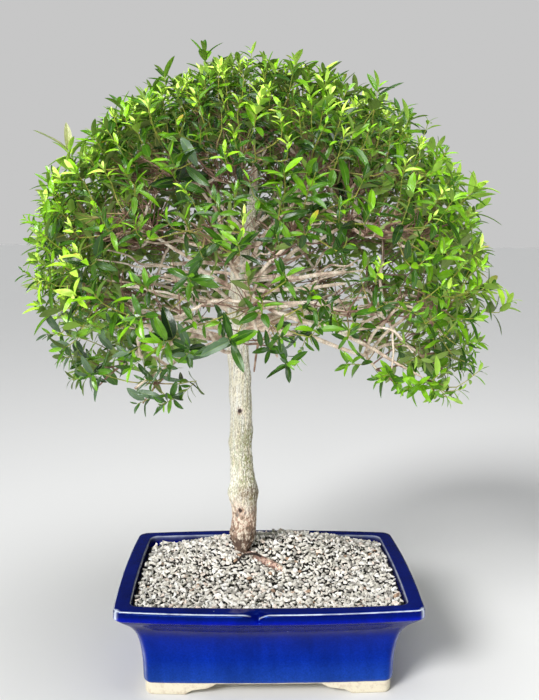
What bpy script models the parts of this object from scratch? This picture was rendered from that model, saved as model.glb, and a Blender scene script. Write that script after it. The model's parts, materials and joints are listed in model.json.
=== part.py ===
# Brush cherry bonsai in a bowed rectangular pot. Metres, +Z up, the front is -Y.
# The origin is the middle of the pot's footprint, on the surface that it stands on.

import math
import random

import bmesh
import bpy
from mathutils import Matrix, Quaternion, Vector

SEED = 11
GAP = 0.0003            # clearance where two pieces touch
FIT = 0.0004            # the same across a slanted face

# Pot: corner to corner at the lip, and how far its sides bow out between the corners
POT_LENGTH = 0.318
POT_DEPTH = 0.2252
POT_HEIGHT = 0.1082
POT_CORNER = 0.009
FRONT_BOW = 0.010
SIDE_BOW = 0.004
BASE_BOW_SHARE = 0.35   # share of the bow that is left at the base
BASE_INSET = 0.0285
FOOT_HEIGHT = 0.0135
FLOOR_TOP = 0.0225

# Wall outside, from the base up: inset from the lip, height
OUTER_WALL = (
    (0.0285, FOOT_HEIGHT), (0.0268, 0.016), (0.0261, 0.040), (0.0224, 0.064),
    (0.0163, 0.079), (0.0087, 0.088), (0.0008, 0.0955), (0.0, 0.0985),
    (0.0, 0.106), (0.002, POT_HEIGHT),
)
# Wall inside, from the lip down
INNER_WALL = (
    (0.0165, POT_HEIGHT), (0.0170, 0.092), (0.0260, 0.078), (0.0340, 0.050),
    (0.0365, FLOOR_TOP),
)
INNER_DEPTH_GAIN = 0.003    # the lip is narrower at the front and back

# Feet: where each flat sole ends, and the stepped outline of the gap between them
FOOT_WIDTH = 0.022
FRONT_SOLE_END = 0.090
SIDE_SOLE_END = 0.060
FOOT_STEPS = (
    (0.0, 0.0), (0.003, 0.0022), (0.009, 0.0050), (0.023, 0.0070),
    (0.029, 0.0098), (0.034, 0.0135), (0.036, 0.0170),
)

NOTCH_X = -0.012
NOTCH_WIDTH = 0.018
NOTCH_DROP = 0.0095
NOTCH_DEPTH = 0.0028

DRAIN_X = 0.065
DRAIN_RADIUS = 0.011
SCREEN_SIDE = 0.034
SCREEN_THICKNESS = 0.0012
SCREEN_MESH = 3
SCREEN_HOLE = 0.0075

# Grit: a bed that rises to a mound behind the trunk, with stones as a relief
BED_EDGE = 0.1005
BED_TILT = 0.035
MOUND_RISE = 0.020
MOUND_CENTRE = (0.002, 0.046)
MOUND_SPREAD = (0.085, 0.052)
STONE_PITCH = 0.0126
STONE_RISE = 0.0032
STONE_JITTER = 0.24

# Trunk: x, y, z and radius along its axis, from the root crown up
TRUNK = (
    (-0.029, 0.034, 0.060, 0.0090), (-0.029, 0.034, 0.100, 0.0115),
    (-0.029, 0.033, 0.119, 0.0095), (-0.0285, 0.033, 0.134, 0.0142),
    (-0.027, 0.033, 0.162, 0.0144), (-0.028, 0.033, 0.186, 0.0160),
    (-0.029, 0.033, 0.206, 0.0140), (-0.031, 0.033, 0.244, 0.0126),
    (-0.031, 0.032, 0.285, 0.0124), (-0.033, 0.031, 0.328, 0.0118),
    (-0.035, 0.029, 0.372, 0.0124), (-0.034, 0.026, 0.415, 0.0112),
    (-0.032, 0.022, 0.455, 0.0090), (-0.023, 0.016, 0.494, 0.0062),
    (-0.018, 0.008, 0.532, 0.0046), (-0.016, 0.004, 0.572, 0.0034),
)
TRUNK_ROOT_RINGS = 4    # rings of the trunk that the grit surrounds

# Surface root and a thin arched rootlet: x, y and height over the grit, with a radius
SURFACE_ROOT = (
    (-0.029, 0.033, -0.010, 0.0060), (-0.020, 0.024, -0.0020, 0.0052),
    (-0.007, 0.013, -0.0010, 0.0046), (0.007, 0.001, -0.0015, 0.0042),
    (0.022, -0.012, -0.0060, 0.0028),
)
ROOTLET = (
    (-0.036, 0.012, -0.0060, 0.0014), (-0.030, 0.010, 0.0030, 0.0014),
    (-0.021, 0.010, 0.0055, 0.0014), (-0.012, 0.011, 0.0035, 0.0014),
    (-0.006, 0.012, -0.0010, 0.0014),
)

# Limbs: height on the trunk, azimuth from +X in degrees, reach, rise and radius
LIMBS = (
    (0.366, 186, 0.150, 0.020, 0.0050), (0.372, 232, 0.150, -0.006, 0.0048),
    (0.378, 322, 0.165, -0.012, 0.0050), (0.384, 8, 0.170, 0.012, 0.0054),
    (0.392, 96, 0.125, 0.030, 0.0048), (0.398, 145, 0.130, 0.030, 0.0046),
    (0.404, 276, 0.150, 0.022, 0.0044), (0.412, 50, 0.140, 0.036, 0.0048),
    (0.424, 205, 0.115, 0.072, 0.0042), (0.432, 345, 0.130, 0.074, 0.0046),
    (0.440, 120, 0.090, 0.080, 0.0040), (0.446, 298, 0.110, 0.078, 0.0040),
    (0.452, 245, 0.090, 0.088, 0.0040), (0.456, 68, 0.100, 0.082, 0.0040),
    (0.490, 170, 0.070, 0.082, 0.0034), (0.494, 15, 0.090, 0.074, 0.0034),
    (0.530, 285, 0.050, 0.056, 0.0028),
)
LIMB_STEPS = 3
LIMB_FORK_SHARE = 0.45      # twigs leave a limb past this share of its length
BRANCH_RADIUS = 0.0021
TIP_RADIUS = 0.0016

# Sprays in rows round the dome: height, radius, count, first azimuth, tilt above level
DOME_CENTRE = (0.0045, 0.0)
DOME_LEAN = -0.11           # how far the middle shifts along X for each metre of rise
DOME_LEAN_START = 0.43
SPRAY_ROWS = (
    (0.641, 0.000, 1, 0, 88), (0.613, 0.080, 6, 20, 60), (0.566, 0.148, 10, 8, 40),
    (0.496, 0.197, 13, 0, 20), (0.420, 0.209, 13, 14, 0),
)
RIM_SPRAYS = (
    (0.346, 0.168, 134, -30), (0.338, 0.187, 164, -34), (0.334, 0.186, 194, -36),
    (0.336, 0.171, 226, -38), (0.364, 0.142, 262, -40), (0.340, 0.171, 316, -34),
    (0.342, 0.188, 345, -32), (0.340, 0.186, 14, -32), (0.350, 0.168, 44, -30),
)
SPRAY_JITTER = 0.007

# Twig and core of a spray, along its own axis: place and radius of each square ring
TWIG_RINGS = ((-0.030, 0.0017), (-0.014, 0.0019), (0.0, 0.0120), (0.017, 0.0010))

# Leaf pairs of a spray: place along the twig, root's offset from it, azimuth round it,
# angle off it and blade length
LEAF_PAIRS = (
    (-0.005, 0.0040, 45, 98, 0.050), (-0.004, 0.0044, 135, 74, 0.055),
    (0.004, 0.0045, 45, 54, 0.056), (0.006, 0.0036, 135, 27, 0.052),
)
TOP_PAIR = (0.010, 0.0015, 0, 12, 0.040)    # only in the rows that face the sky
TOP_PAIR_TILT = 0.5                         # least rise of a spray's aim that has one
BLADE_WIDTH_SHARE = 0.47
BLADE_THICKNESS = 0.0011
BLADE_FOLD = 0.06
BLADE_DROOP = 0.16
BLADE_SCALES = (1.0, 0.9, 0.8, 0.7, 0.6)
BLADE_ROLLS = (0, 12, -12)
CELL_MARGIN = 0.0006
WOOD_MARGIN = 0.0016

GLAZE_BLUE = (0.010, 0.030, 0.330)
GRIT_GREY = (0.520, 0.490, 0.450)
BARK_CREAM = (0.480, 0.390, 0.260)
SCREEN_BLACK = (0.030, 0.030, 0.030)
LEAF_GREEN = (0.110, 0.260, 0.030)
LEAF_LIME = (0.300, 0.480, 0.050)


def clearScene():
    for thing in list(bpy.data.objects):
        bpy.data.objects.remove(thing, do_unlink=True)


def makeCollection(name):
    collection = bpy.data.collections.new(name)
    bpy.context.scene.collection.children.link(collection)
    return collection


def makeMaterial(name, colour, roughness):
    material = bpy.data.materials.new(name)
    material.use_nodes = True
    shader = material.node_tree.nodes["Principled BSDF"]
    shader.inputs["Base Color"].default_value = (*colour, 1.0)
    shader.inputs["Roughness"].default_value = roughness
    shader.inputs["Metallic"].default_value = 0.0
    return material


def makeObject(name, mesh, collection):
    thing = bpy.data.objects.new(name, mesh)
    collection.objects.link(thing)
    return thing


def meshFromBmesh(name, bm):
    bmesh.ops.recalc_face_normals(bm, faces=bm.faces)
    mesh = bpy.data.meshes.new(name)
    bm.to_mesh(mesh)
    bm.free()
    return mesh


def hideCutter(cutter):
    cutter.hide_render = True
    cutter.display_type = 'WIRE'
    return cutter


def addBoolean(thing, cutter, operation):
    modifier = thing.modifiers.new(cutter.name, 'BOOLEAN')
    modifier.operation = operation
    modifier.object = cutter
    return modifier


def evaluatedMesh(thing):
    bpy.context.view_layer.update()
    graph = bpy.context.evaluated_depsgraph_get()
    return bpy.data.meshes.new_from_object(thing.evaluated_get(graph))


# Plan outline of the pot at an inset: a rectangle with round corners and bowed sides
def potOutline(inset, depthGain=0.0):
    halfX = POT_LENGTH / 2 - inset
    halfY = POT_DEPTH / 2 - inset + depthGain
    bowShare = 1 - (1 - BASE_BOW_SHARE) * inset / BASE_INSET
    bowShare = max(bowShare, BASE_BOW_SHARE)
    quarter = [(halfX, 0.0)]
    for step in range(3):
        angle = step * math.pi / 4
        quarter.append((halfX - POT_CORNER * (1 - math.cos(angle)),
                        halfY - POT_CORNER * (1 - math.sin(angle))))
    quarter += [(halfX * 0.64, halfY), (halfX * 0.32, halfY)]
    left = [(-x, y) for x, y in reversed(quarter[1:])]
    upper = quarter + [(0.0, halfY)] + left
    lower = [(-x, -y) for x, y in upper]
    points = []
    for x, y in upper + lower:
        bowX = SIDE_BOW * bowShare * (1 - (y / halfY) ** 2) * (x / halfX)
        bowY = FRONT_BOW * bowShare * (1 - (x / halfX) ** 2) * (y / halfY)
        points.append((x + bowX, y + bowY))
    return points


# Loft through rings of the same point count, closed with a face at each end
def loft(name, rings):
    bm = bmesh.new()
    loops = [[bm.verts.new(point) for point in ring] for ring in rings]
    for lower, upper in zip(loops, loops[1:]):
        count = len(lower)
        for i in range(count):
            j = (i + 1) % count
            bm.faces.new((lower[i], lower[j], upper[j], upper[i]))
    bm.faces.new(list(reversed(loops[0])))
    bm.faces.new(loops[-1])
    return meshFromBmesh(name, bm)


def potRing(inset, height, depthGain=0.0):
    return [(x, y, height) for x, y in potOutline(inset, depthGain)]


def boxMesh(name, low, high):
    bm = bmesh.new()
    bmesh.ops.create_cube(bm, size=1.0)
    size = [b - a for a, b in zip(low, high)]
    middle = [(a + b) / 2 for a, b in zip(low, high)]
    bmesh.ops.scale(bm, vec=size, verts=bm.verts)
    bmesh.ops.translate(bm, vec=middle, verts=bm.verts)
    return meshFromBmesh(name, bm)


def cylinderMesh(name, radius, low, high, sides):
    bm = bmesh.new()
    bmesh.ops.create_cone(bm, cap_ends=True, segments=sides, radius1=radius, radius2=radius,
                          depth=high - low)
    bmesh.ops.translate(bm, vec=(0, 0, (low + high) / 2), verts=bm.verts)
    return meshFromBmesh(name, bm)


# Flat outline drawn in X and Y, raised to a slab and turned into place
def slabMesh(name, outline, thickness, turn):
    curve = bpy.data.curves.new(name, 'CURVE')
    curve.dimensions = '2D'
    curve.fill_mode = 'BOTH'
    curve.extrude = thickness / 2
    spline = curve.splines.new('POLY')
    spline.points.add(len(outline) - 1)
    for point, (x, y) in zip(spline.points, outline):
        point.co = (x, y, 0, 1)
    spline.use_cyclic_u = True
    mesh = meshFromCurve(name, curve)
    mesh.transform(turn)
    return mesh


# Mesh of a curve with its caps joined on; the curve is removed
def meshFromCurve(name, curve):
    holder = bpy.data.objects.new(name, curve)
    bpy.context.scene.collection.objects.link(holder)
    mesh = evaluatedMesh(holder)
    bpy.data.objects.remove(holder, do_unlink=True)
    bpy.data.curves.remove(curve)
    bm = bmesh.new()
    bm.from_mesh(mesh)
    bmesh.ops.remove_doubles(bm, verts=bm.verts, dist=0.00001)
    bpy.data.meshes.remove(mesh)
    return meshFromBmesh(name, bm)


# Round tube with 4, 6, 8 or 10 sides through points, each with its own radius
def tubeMesh(name, points, radii, sides):
    curve = bpy.data.curves.new(name, 'CURVE')
    curve.dimensions = '3D'
    curve.bevel_depth = 1.0
    curve.bevel_resolution = (sides - 4) // 2
    curve.use_fill_caps = True
    spline = curve.splines.new('POLY')
    spline.points.add(len(points) - 1)
    for knot, point, radius in zip(spline.points, points, radii):
        knot.co = (*point, 1)
        knot.radius = radius
    return meshFromCurve(name, curve)


# Largest body of a mesh: sealed hollows and loose scraps are other bodies, and are dropped
def keepLargestBody(bm):
    bm.verts.ensure_lookup_table()
    unseen = set(bm.faces)
    bodies = []
    while unseen:
        stack = [unseen.pop()]
        body = []
        while stack:
            face = stack.pop()
            body.append(face)
            for edge in face.edges:
                for other in edge.link_faces:
                    if other in unseen:
                        unseen.remove(other)
                        stack.append(other)
        bodies.append(body)
    bodies.sort(key=lambda faces: sum(face.calc_area() for face in faces))
    spare = [face for body in bodies[:-1] for face in body]
    if spare:
        bmesh.ops.delete(bm, geom=spare, context='FACES')


# One body from many overlapping solids
def fuse(name, meshes, collection, material, solver='EXACT'):
    bunch = makeCollection(name + "_bunch")
    body = bpy.data.objects.new(name, meshes[0])
    bpy.context.scene.collection.objects.link(body)
    for index, mesh in enumerate(meshes[1:]):
        makeObject(name + "_piece_" + str(index), mesh, bunch)
    union = body.modifiers.new("union", 'BOOLEAN')
    union.operation = 'UNION'
    union.operand_type = 'COLLECTION'
    union.collection = bunch
    union.solver = solver
    joined = evaluatedMesh(body)
    bpy.data.objects.remove(body, do_unlink=True)
    for piece in list(bunch.objects):
        bpy.data.objects.remove(piece, do_unlink=True)
    bpy.data.collections.remove(bunch)
    bm = bmesh.new()
    bm.from_mesh(joined)
    bpy.data.meshes.remove(joined)
    keepLargestBody(bm)
    mesh = bpy.data.meshes.new(name)
    bm.to_mesh(mesh)
    bm.free()
    mesh.materials.clear()
    mesh.materials.append(material)
    return makeObject(name, mesh, collection)


# Pot: a lofted shell with its feet fused on, then notched and drained

def footGapOutline(soleEnd):
    right = [(soleEnd - run, rise) for run, rise in FOOT_STEPS]
    right = [(soleEnd, -0.004)] + right
    left = [(-x, z) for x, z in reversed(right)]
    return right + left


def feetMesh(cutters):
    sole = BASE_INSET - 0.0002
    rings = [potRing(sole, 0.0), potRing(sole - 0.0006, FOOT_HEIGHT + 0.0015)]
    skirt = makeObject("foot_skirt", loft("foot_skirt", rings), cutters)
    hideCutter(skirt)
    inner = BASE_INSET + FOOT_WIDTH
    rings = [potRing(inner, -0.004), potRing(inner, FOOT_HEIGHT + 0.006)]
    hollow = hideCutter(makeObject("foot_hollow", loft("foot_hollow", rings), cutters))
    upright = Matrix.Rotation(math.pi / 2, 4, 'X')
    frontGap = slabMesh("front_gap", footGapOutline(FRONT_SOLE_END), POT_DEPTH * 1.2, upright)
    sideways = Matrix.Rotation(math.pi / 2, 4, 'Z') @ upright
    sideGap = slabMesh("side_gap", footGapOutline(SIDE_SOLE_END), POT_LENGTH * 1.2, sideways)
    addBoolean(skirt, hollow, 'DIFFERENCE')
    addBoolean(skirt, hideCutter(makeObject("front_gap", frontGap, cutters)), 'DIFFERENCE')
    addBoolean(skirt, hideCutter(makeObject("side_gap", sideGap, cutters)), 'DIFFERENCE')
    return skirt


def notchMesh():
    half = NOTCH_WIDTH / 2
    tip = POT_HEIGHT - NOTCH_DROP
    shoulder = POT_HEIGHT - NOTCH_DROP * 0.45
    outline = [(-half - 0.004, POT_HEIGHT + 0.004), (-half * 0.62, shoulder), (0.0, tip),
               (half * 0.62, shoulder), (half + 0.004, POT_HEIGHT + 0.004)]
    upright = Matrix.Rotation(math.pi / 2, 4, 'X')
    front = -(POT_DEPTH / 2 + FRONT_BOW)
    middle = front + NOTCH_DEPTH - 0.010
    return slabMesh("notch", outline, 0.020, Matrix.Translation((NOTCH_X, middle, 0)) @ upright)


def makePot(parts, cutters, glaze):
    rings = [potRing(inset, height) for inset, height in OUTER_WALL]
    rings += [potRing(inset, height, INNER_DEPTH_GAIN) for inset, height in INNER_WALL]
    pot = makeObject("pot", loft("pot", rings), parts)
    pot.data.materials.append(glaze)
    addBoolean(pot, feetMesh(cutters), 'UNION')
    notch = hideCutter(makeObject("notch", notchMesh(), cutters))
    addBoolean(pot, notch, 'DIFFERENCE')
    for side in (-1, 1):
        drill = cylinderMesh("drain", DRAIN_RADIUS, -0.004, FLOOR_TOP + 0.004, 16)
        drain = hideCutter(makeObject("drain", drill, cutters))
        drain.location.x = side * DRAIN_X
        addBoolean(pot, drain, 'DIFFERENCE')
    return pot


# Drain screens: plastic squares with a grid of holes

def makeScreen(name, x, parts, cutters, plastic):
    half = SCREEN_SIDE / 2
    low = (x - half, -half, FLOOR_TOP + GAP)
    high = (x + half, half, FLOOR_TOP + GAP + SCREEN_THICKNESS)
    screen = makeObject(name, boxMesh(name, low, high), parts)
    screen.data.materials.append(plastic)
    pitch = SCREEN_SIDE / SCREEN_MESH
    punches = makeCollection(name + "_holes")
    cutters.children.link(punches)
    bpy.context.scene.collection.children.unlink(punches)
    for column in range(SCREEN_MESH):
        for row in range(SCREEN_MESH):
            middleX = x + (column - (SCREEN_MESH - 1) / 2) * pitch
            middleY = (row - (SCREEN_MESH - 1) / 2) * pitch
            reach = SCREEN_HOLE / 2
            punch = boxMesh("mesh_hole", (middleX - reach, middleY - reach, low[2] - 0.002),
                            (middleX + reach, middleY + reach, high[2] + 0.002))
            hideCutter(makeObject("mesh_hole", punch, punches))
    modifier = screen.modifiers.new("holes", 'BOOLEAN')
    modifier.operation = 'DIFFERENCE'
    modifier.operand_type = 'COLLECTION'
    modifier.collection = punches
    return screen


# Grit bed: a stony relief over the pot's hollow, with plain holes for the roots

def bedHeight(x, y):
    across = (x - MOUND_CENTRE[0]) / MOUND_SPREAD[0]
    along = (y - MOUND_CENTRE[1]) / MOUND_SPREAD[1]
    return BED_EDGE - BED_TILT * y + MOUND_RISE * math.exp(-(across ** 2 + along ** 2) / 2)


# Points on a triangular lattice: every third one is the top of a stone
def stoneReliefMesh(rng):
    rowPitch = STONE_PITCH * math.sqrt(3) / 2
    columns = int(POT_LENGTH / STONE_PITCH) + 2
    rows = int((POT_DEPTH + 2 * FRONT_BOW) / rowPitch) + 2
    bm = bmesh.new()
    bmesh.ops.create_grid(bm, x_segments=columns, y_segments=rows, size=0.5)
    for vert in bm.verts:
        column = round((vert.co.x + 0.5) * columns)
        row = round((vert.co.y + 0.5) * rows)
        x = (column - columns / 2 + 0.5 * (row % 2)) * STONE_PITCH
        y = (row - rows / 2) * rowPitch
        isTop = (column - row // 2 - row) % 3 == 0
        x += rng.uniform(-STONE_JITTER, STONE_JITTER) * STONE_PITCH
        y += rng.uniform(-STONE_JITTER, STONE_JITTER) * STONE_PITCH
        lift = rng.uniform(0.4, 1.1) if isTop else rng.uniform(-0.5, 0.0)
        vert.co = (x, y, bedHeight(x, y) + lift * STONE_RISE)
    bmesh.ops.triangulate(bm, faces=bm.faces, quad_method='SHORT_EDGE')
    rim = [edge for edge in bm.edges if edge.is_boundary]
    grown = bmesh.ops.extrude_edge_only(bm, edges=rim)["geom"]
    for item in grown:
        if isinstance(item, bmesh.types.BMVert):
            item.co.z = 0.0
    low = [edge for edge in bm.edges if edge.is_boundary]
    bmesh.ops.contextual_create(bm, geom=low)
    return meshFromBmesh("grit_bed", bm)


def rootPath(knots):
    return [(x, y, bedHeight(x, y) + lift) for x, y, lift, radius in knots]


def rootTube(name, knots, extra, sides):
    return tubeMesh(name, rootPath(knots), [knot[3] + extra for knot in knots], sides)


def trunkTube(name, knots, extra):
    return tubeMesh(name, [knot[:3] for knot in knots], [knot[3] + extra for knot in knots], 10)


def makeGritBed(parts, cutters, grit):
    bed = makeObject("grit_bed", stoneReliefMesh(random.Random(SEED)), parts)
    bed.data.materials.append(grit)
    walls = [(inset + FIT, height) for inset, height in reversed(INNER_WALL)]
    walls[0] = (walls[0][0], FLOOR_TOP + GAP)
    walls[-1] = (walls[-1][0], POT_HEIGHT + 0.030)
    rings = [potRing(inset, height, INNER_DEPTH_GAIN) for inset, height in walls]
    hollow = hideCutter(makeObject("pot_hollow", loft("pot_hollow", rings), cutters))
    addBoolean(bed, hollow, 'INTERSECT')
    extra = GAP + 0.0003
    holes = [trunkTube("trunk_hole", TRUNK[:TRUNK_ROOT_RINGS + 1], extra),
             rootTube("root_hole", SURFACE_ROOT, extra, 6),
             rootTube("rootlet_hole", ROOTLET, extra, 4)]
    for mesh in holes:
        addBoolean(bed, hideCutter(makeObject(mesh.name, mesh, cutters)), 'DIFFERENCE')
    for side in (-1, 1):
        half = SCREEN_SIDE / 2 + FIT
        low = (side * DRAIN_X - half, -half, FLOOR_TOP - 0.002)
        high = (side * DRAIN_X + half, half, FLOOR_TOP + 2 * GAP + SCREEN_THICKNESS)
        pocket = makeObject("screen_pocket", boxMesh("screen_pocket", low, high), cutters)
        addBoolean(bed, hideCutter(pocket), 'DIFFERENCE')
    return bed


# Sprays: where each sits on the dome and which way it points

def spraySites():
    rng = random.Random(SEED + 1)
    sites = []
    places = []
    for height, radius, count, first, tilt in SPRAY_ROWS:
        for index in range(count):
            places.append((height, radius, first + index * 360 / count, tilt))
    places += list(RIM_SPRAYS)
    for height, radius, azimuth, tilt in places:
        azimuth = math.radians(azimuth + rng.uniform(-4, 4))
        tilt = math.radians(tilt + rng.uniform(-6, 6))
        radius += rng.uniform(-1, 1) * SPRAY_JITTER
        height += rng.uniform(-1, 1) * SPRAY_JITTER
        middleX = DOME_CENTRE[0] + DOME_LEAN * max(0.0, height - DOME_LEAN_START)
        place = Vector((middleX + radius * math.cos(azimuth),
                        DOME_CENTRE[1] + radius * math.sin(azimuth), height))
        aim = Vector((math.cos(tilt) * math.cos(azimuth), math.cos(tilt) * math.sin(azimuth),
                      math.sin(tilt)))
        sites.append((place, aim))
    return sites


# Wood: trunk, limbs and the branches that end at the sprays

def trunkPoint(height):
    for lower, upper in zip(TRUNK, TRUNK[1:]):
        if lower[2] <= height <= upper[2]:
            share = (height - lower[2]) / (upper[2] - lower[2])
            return Vector(lower[:3]).lerp(Vector(upper[:3]), share)
    return Vector(TRUNK[-1][:3])


def limbPath(height, azimuth, reach, rise):
    start = trunkPoint(height)
    angle = math.radians(azimuth)
    out = Vector((math.cos(angle), math.sin(angle), 0))
    side = Vector((-out.y, out.x, 0))
    points = []
    for step in range(LIMB_STEPS + 1):
        share = step / LIMB_STEPS
        sway = 0.006 * math.sin(share * 5.0 + azimuth)
        lift = rise * share ** 1.4 + 0.010 * math.sin(share * math.pi)
        points.append(start + out * reach * share + side * sway * share + Vector((0, 0, lift)))
    return points


def allLimbs():
    limbs = []
    for height, azimuth, reach, rise, radius in LIMBS:
        points = limbPath(height, azimuth, reach, rise)
        radii = [radius * (1 - 0.55 * step / LIMB_STEPS) for step in range(LIMB_STEPS + 1)]
        limbs.append((points, radii))
    return limbs


# A branch leaves the nearest limb and comes to its spray along the spray's own direction
def branchPath(place, aim, limbs):
    tip = place + aim * (TWIG_RINGS[0][0] - GAP)
    forks = [Vector(TRUNK[-1][:3])]
    for points, radii in limbs:
        last = len(points) - 1
        for index in range(last):
            for share in (0.0, 0.5, 1.0):
                if (index + share) / last >= LIMB_FORK_SHARE:
                    forks.append(points[index].lerp(points[index + 1], share))
    fork = min(forks, key=lambda point: (point - tip).length + max(0.0, point.z - tip.z) * 0.5)
    reach = (tip - fork).length
    before = tip - aim * min(0.016, reach * 0.35)
    return [fork, before, tip]


def allBranches(sites, limbs):
    return [branchPath(place, aim, limbs) for place, aim in sites]


def makeTreeWood(limbs, branches, parts, bark):
    meshes = [trunkTube("trunk", TRUNK, 0.0), rootTube("surface_root", SURFACE_ROOT, 0.0, 6),
              rootTube("rootlet", ROOTLET, 0.0, 4)]
    for points, radii in limbs:
        meshes.append(tubeMesh("limb", points, radii, 6))
    for points in branches:
        radii = [BRANCH_RADIUS, BRANCH_RADIUS, TIP_RADIUS]
        meshes.append(tubeMesh("branch", points, radii, 4))
    return fuse("tree_wood", meshes, parts, bark)


# Leafy sprays: a twig with opposite pairs of blades round a small core

# A blade is a sphere of few sides, flattened over a keel and arched along its length
def bladeMesh(length, place):
    bm = bmesh.new()
    bmesh.ops.create_uvsphere(bm, u_segments=3, v_segments=3, radius=1.0)
    ringRadius = math.cos(math.pi / 6)
    for vert in bm.verts:
        share = (vert.co.z + 1) / 2
        across = vert.co.y / (ringRadius * math.sin(math.pi / 3))
        keel = max(0.0, vert.co.x) / ringRadius * BLADE_THICKNESS
        side = across * length * BLADE_WIDTH_SHARE / 2
        lift = abs(side) * BLADE_FOLD - share ** 2 * length * BLADE_DROOP
        vert.co = (side, share * length, lift - keel)
    bmesh.ops.transform(bm, matrix=place, verts=bm.verts)
    return meshFromBmesh("blade", bm)


# Frame of a blade in its spray: Y runs along it, Z is the side that faces the twig's tip
def bladePlace(station, rootOut, azimuth, angle, twist):
    out = Vector((math.cos(azimuth), math.sin(azimuth), 0))
    up = Vector((0, 0, 1))
    along = up * math.cos(angle) + out * math.sin(angle)
    facing = Quaternion(along, twist) @ (up * math.sin(angle) - out * math.cos(angle))
    turn = Matrix((along.cross(facing), along, facing)).transposed().to_4x4()
    return Matrix.Translation(out * rootOut + up * station) @ turn


# Frame of a spray: Z is the way it points
def sprayFrame(place, aim, roll):
    across = Quaternion(aim, roll) @ aim.orthogonal().normalized()
    turn = Matrix((across, aim.cross(across), aim)).transposed().to_4x4()
    return Matrix.Translation(place) @ turn


def insideCell(points, place, others):
    for other in others:
        way = other - place
        reach = way.length
        limit = reach / 2 - CELL_MARGIN
        if any((point - place).dot(way) / reach > limit for point in points):
            return False
    return True


def segmentDistance(point, start, end):
    way = end - start
    share = max(0.0, min(1.0, (point - start).dot(way) / way.length_squared))
    return (point - (start + way * share)).length


def clearOfWood(points, woodSegments):
    for start, end, radius in woodSegments:
        for point in points:
            if segmentDistance(point, start, end) < radius + WOOD_MARGIN:
                return False
    return True


def samplePoints(mesh):
    points = [vert.co.copy() for vert in mesh.vertices]
    for edge in mesh.edges:
        first, second = (mesh.vertices[index].co for index in edge.vertices)
        points += [first.lerp(second, 0.33), first.lerp(second, 0.67)]
    return points


def fitBlade(frame, pair, opposite, others, wood, rng):
    station, rootOut, azimuth, angle, length = pair
    twist = math.radians(rng.uniform(-14, 14))
    angle = math.radians(angle + rng.uniform(-6, 6))
    azimuth = math.radians(azimuth + opposite * 180 + rng.uniform(-8, 8))
    place = frame.to_translation()
    for scale in BLADE_SCALES:
        for roll in BLADE_ROLLS:
            around = azimuth + math.radians(roll)
            local = bladePlace(station, rootOut, around, angle, twist)
            blade = bladeMesh(length * scale, frame @ local)
            points = samplePoints(blade)
            if insideCell(points, place, others) and clearOfWood(points, wood):
                return blade
            bpy.data.meshes.remove(blade)
    return None


def twigMesh(frame):
    corners = [(math.cos(side * math.pi / 2), math.sin(side * math.pi / 2)) for side in range(4)]
    rings = [[(x * radius, y * radius, height) for x, y in corners]
             for height, radius in TWIG_RINGS]
    mesh = loft("twig", rings)
    mesh.transform(frame)
    return mesh


def makeSpray(index, place, aim, others, wood, parts, leaf):
    rng = random.Random(SEED * 100 + index)
    frame = sprayFrame(place, aim, rng.uniform(0, math.pi))
    meshes = [twigMesh(frame)]
    pairs = LEAF_PAIRS + (TOP_PAIR,) if aim.z > TOP_PAIR_TILT else LEAF_PAIRS
    for pair in pairs:
        for opposite in (0, 1):
            blade = fitBlade(frame, pair, opposite, others, wood, rng)
            if blade:
                meshes.append(blade)
    return fuse("spray_" + str(index + 1).zfill(2), meshes, parts, leaf)


def tubeSegments(points, radii):
    return [(first, second, max(pair)) for first, second, pair
            in zip(points, points[1:], zip(radii, radii[1:]))]


def makeSprays(sites, limbs, branches, parts, leaves):
    trunk = tubeSegments([Vector(knot[:3]) for knot in TRUNK], [knot[3] for knot in TRUNK])
    limbSegments = [part for points, radii in limbs for part in tubeSegments(points, radii)]
    radii = [BRANCH_RADIUS] * 3
    branchSegments = [tubeSegments(points, radii) for points in branches]
    for index, (place, aim) in enumerate(sites):
        others = [other for number, (other, way) in enumerate(sites) if number != index]
        near = [part for segments in branchSegments for part in segments]
        wood = [part for part in trunk + limbSegments + near
                if segmentDistance(place, part[0], part[1]) < 0.090]
        makeSpray(index, place, aim, others, wood, parts, leaves[index % len(leaves)])


def build():
    clearScene()
    parts = makeCollection("brush_cherry_bonsai")
    cutters = makeCollection("cutters")
    makePot(parts, cutters, makeMaterial("cobalt_glaze", GLAZE_BLUE, 0.15))
    plastic = makeMaterial("screen_plastic", SCREEN_BLACK, 0.60)
    makeScreen("drain_screen_left", -DRAIN_X, parts, cutters, plastic)
    makeScreen("drain_screen_right", DRAIN_X, parts, cutters, plastic)
    makeGritBed(parts, cutters, makeMaterial("crushed_grit", GRIT_GREY, 0.90))
    sites = spraySites()
    limbs = allLimbs()
    branches = allBranches(sites, limbs)
    makeTreeWood(limbs, branches, parts, makeMaterial("bark", BARK_CREAM, 0.85))
    leaves = [makeMaterial("leaf_green", LEAF_GREEN, 0.35),
              makeMaterial("leaf_lime", LEAF_LIME, 0.40)]
    makeSprays(sites, limbs, branches, parts, leaves)


build()
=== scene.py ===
import json
import math
import random

import bmesh
import bpy
from mathutils import Matrix, Vector, noise

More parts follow.
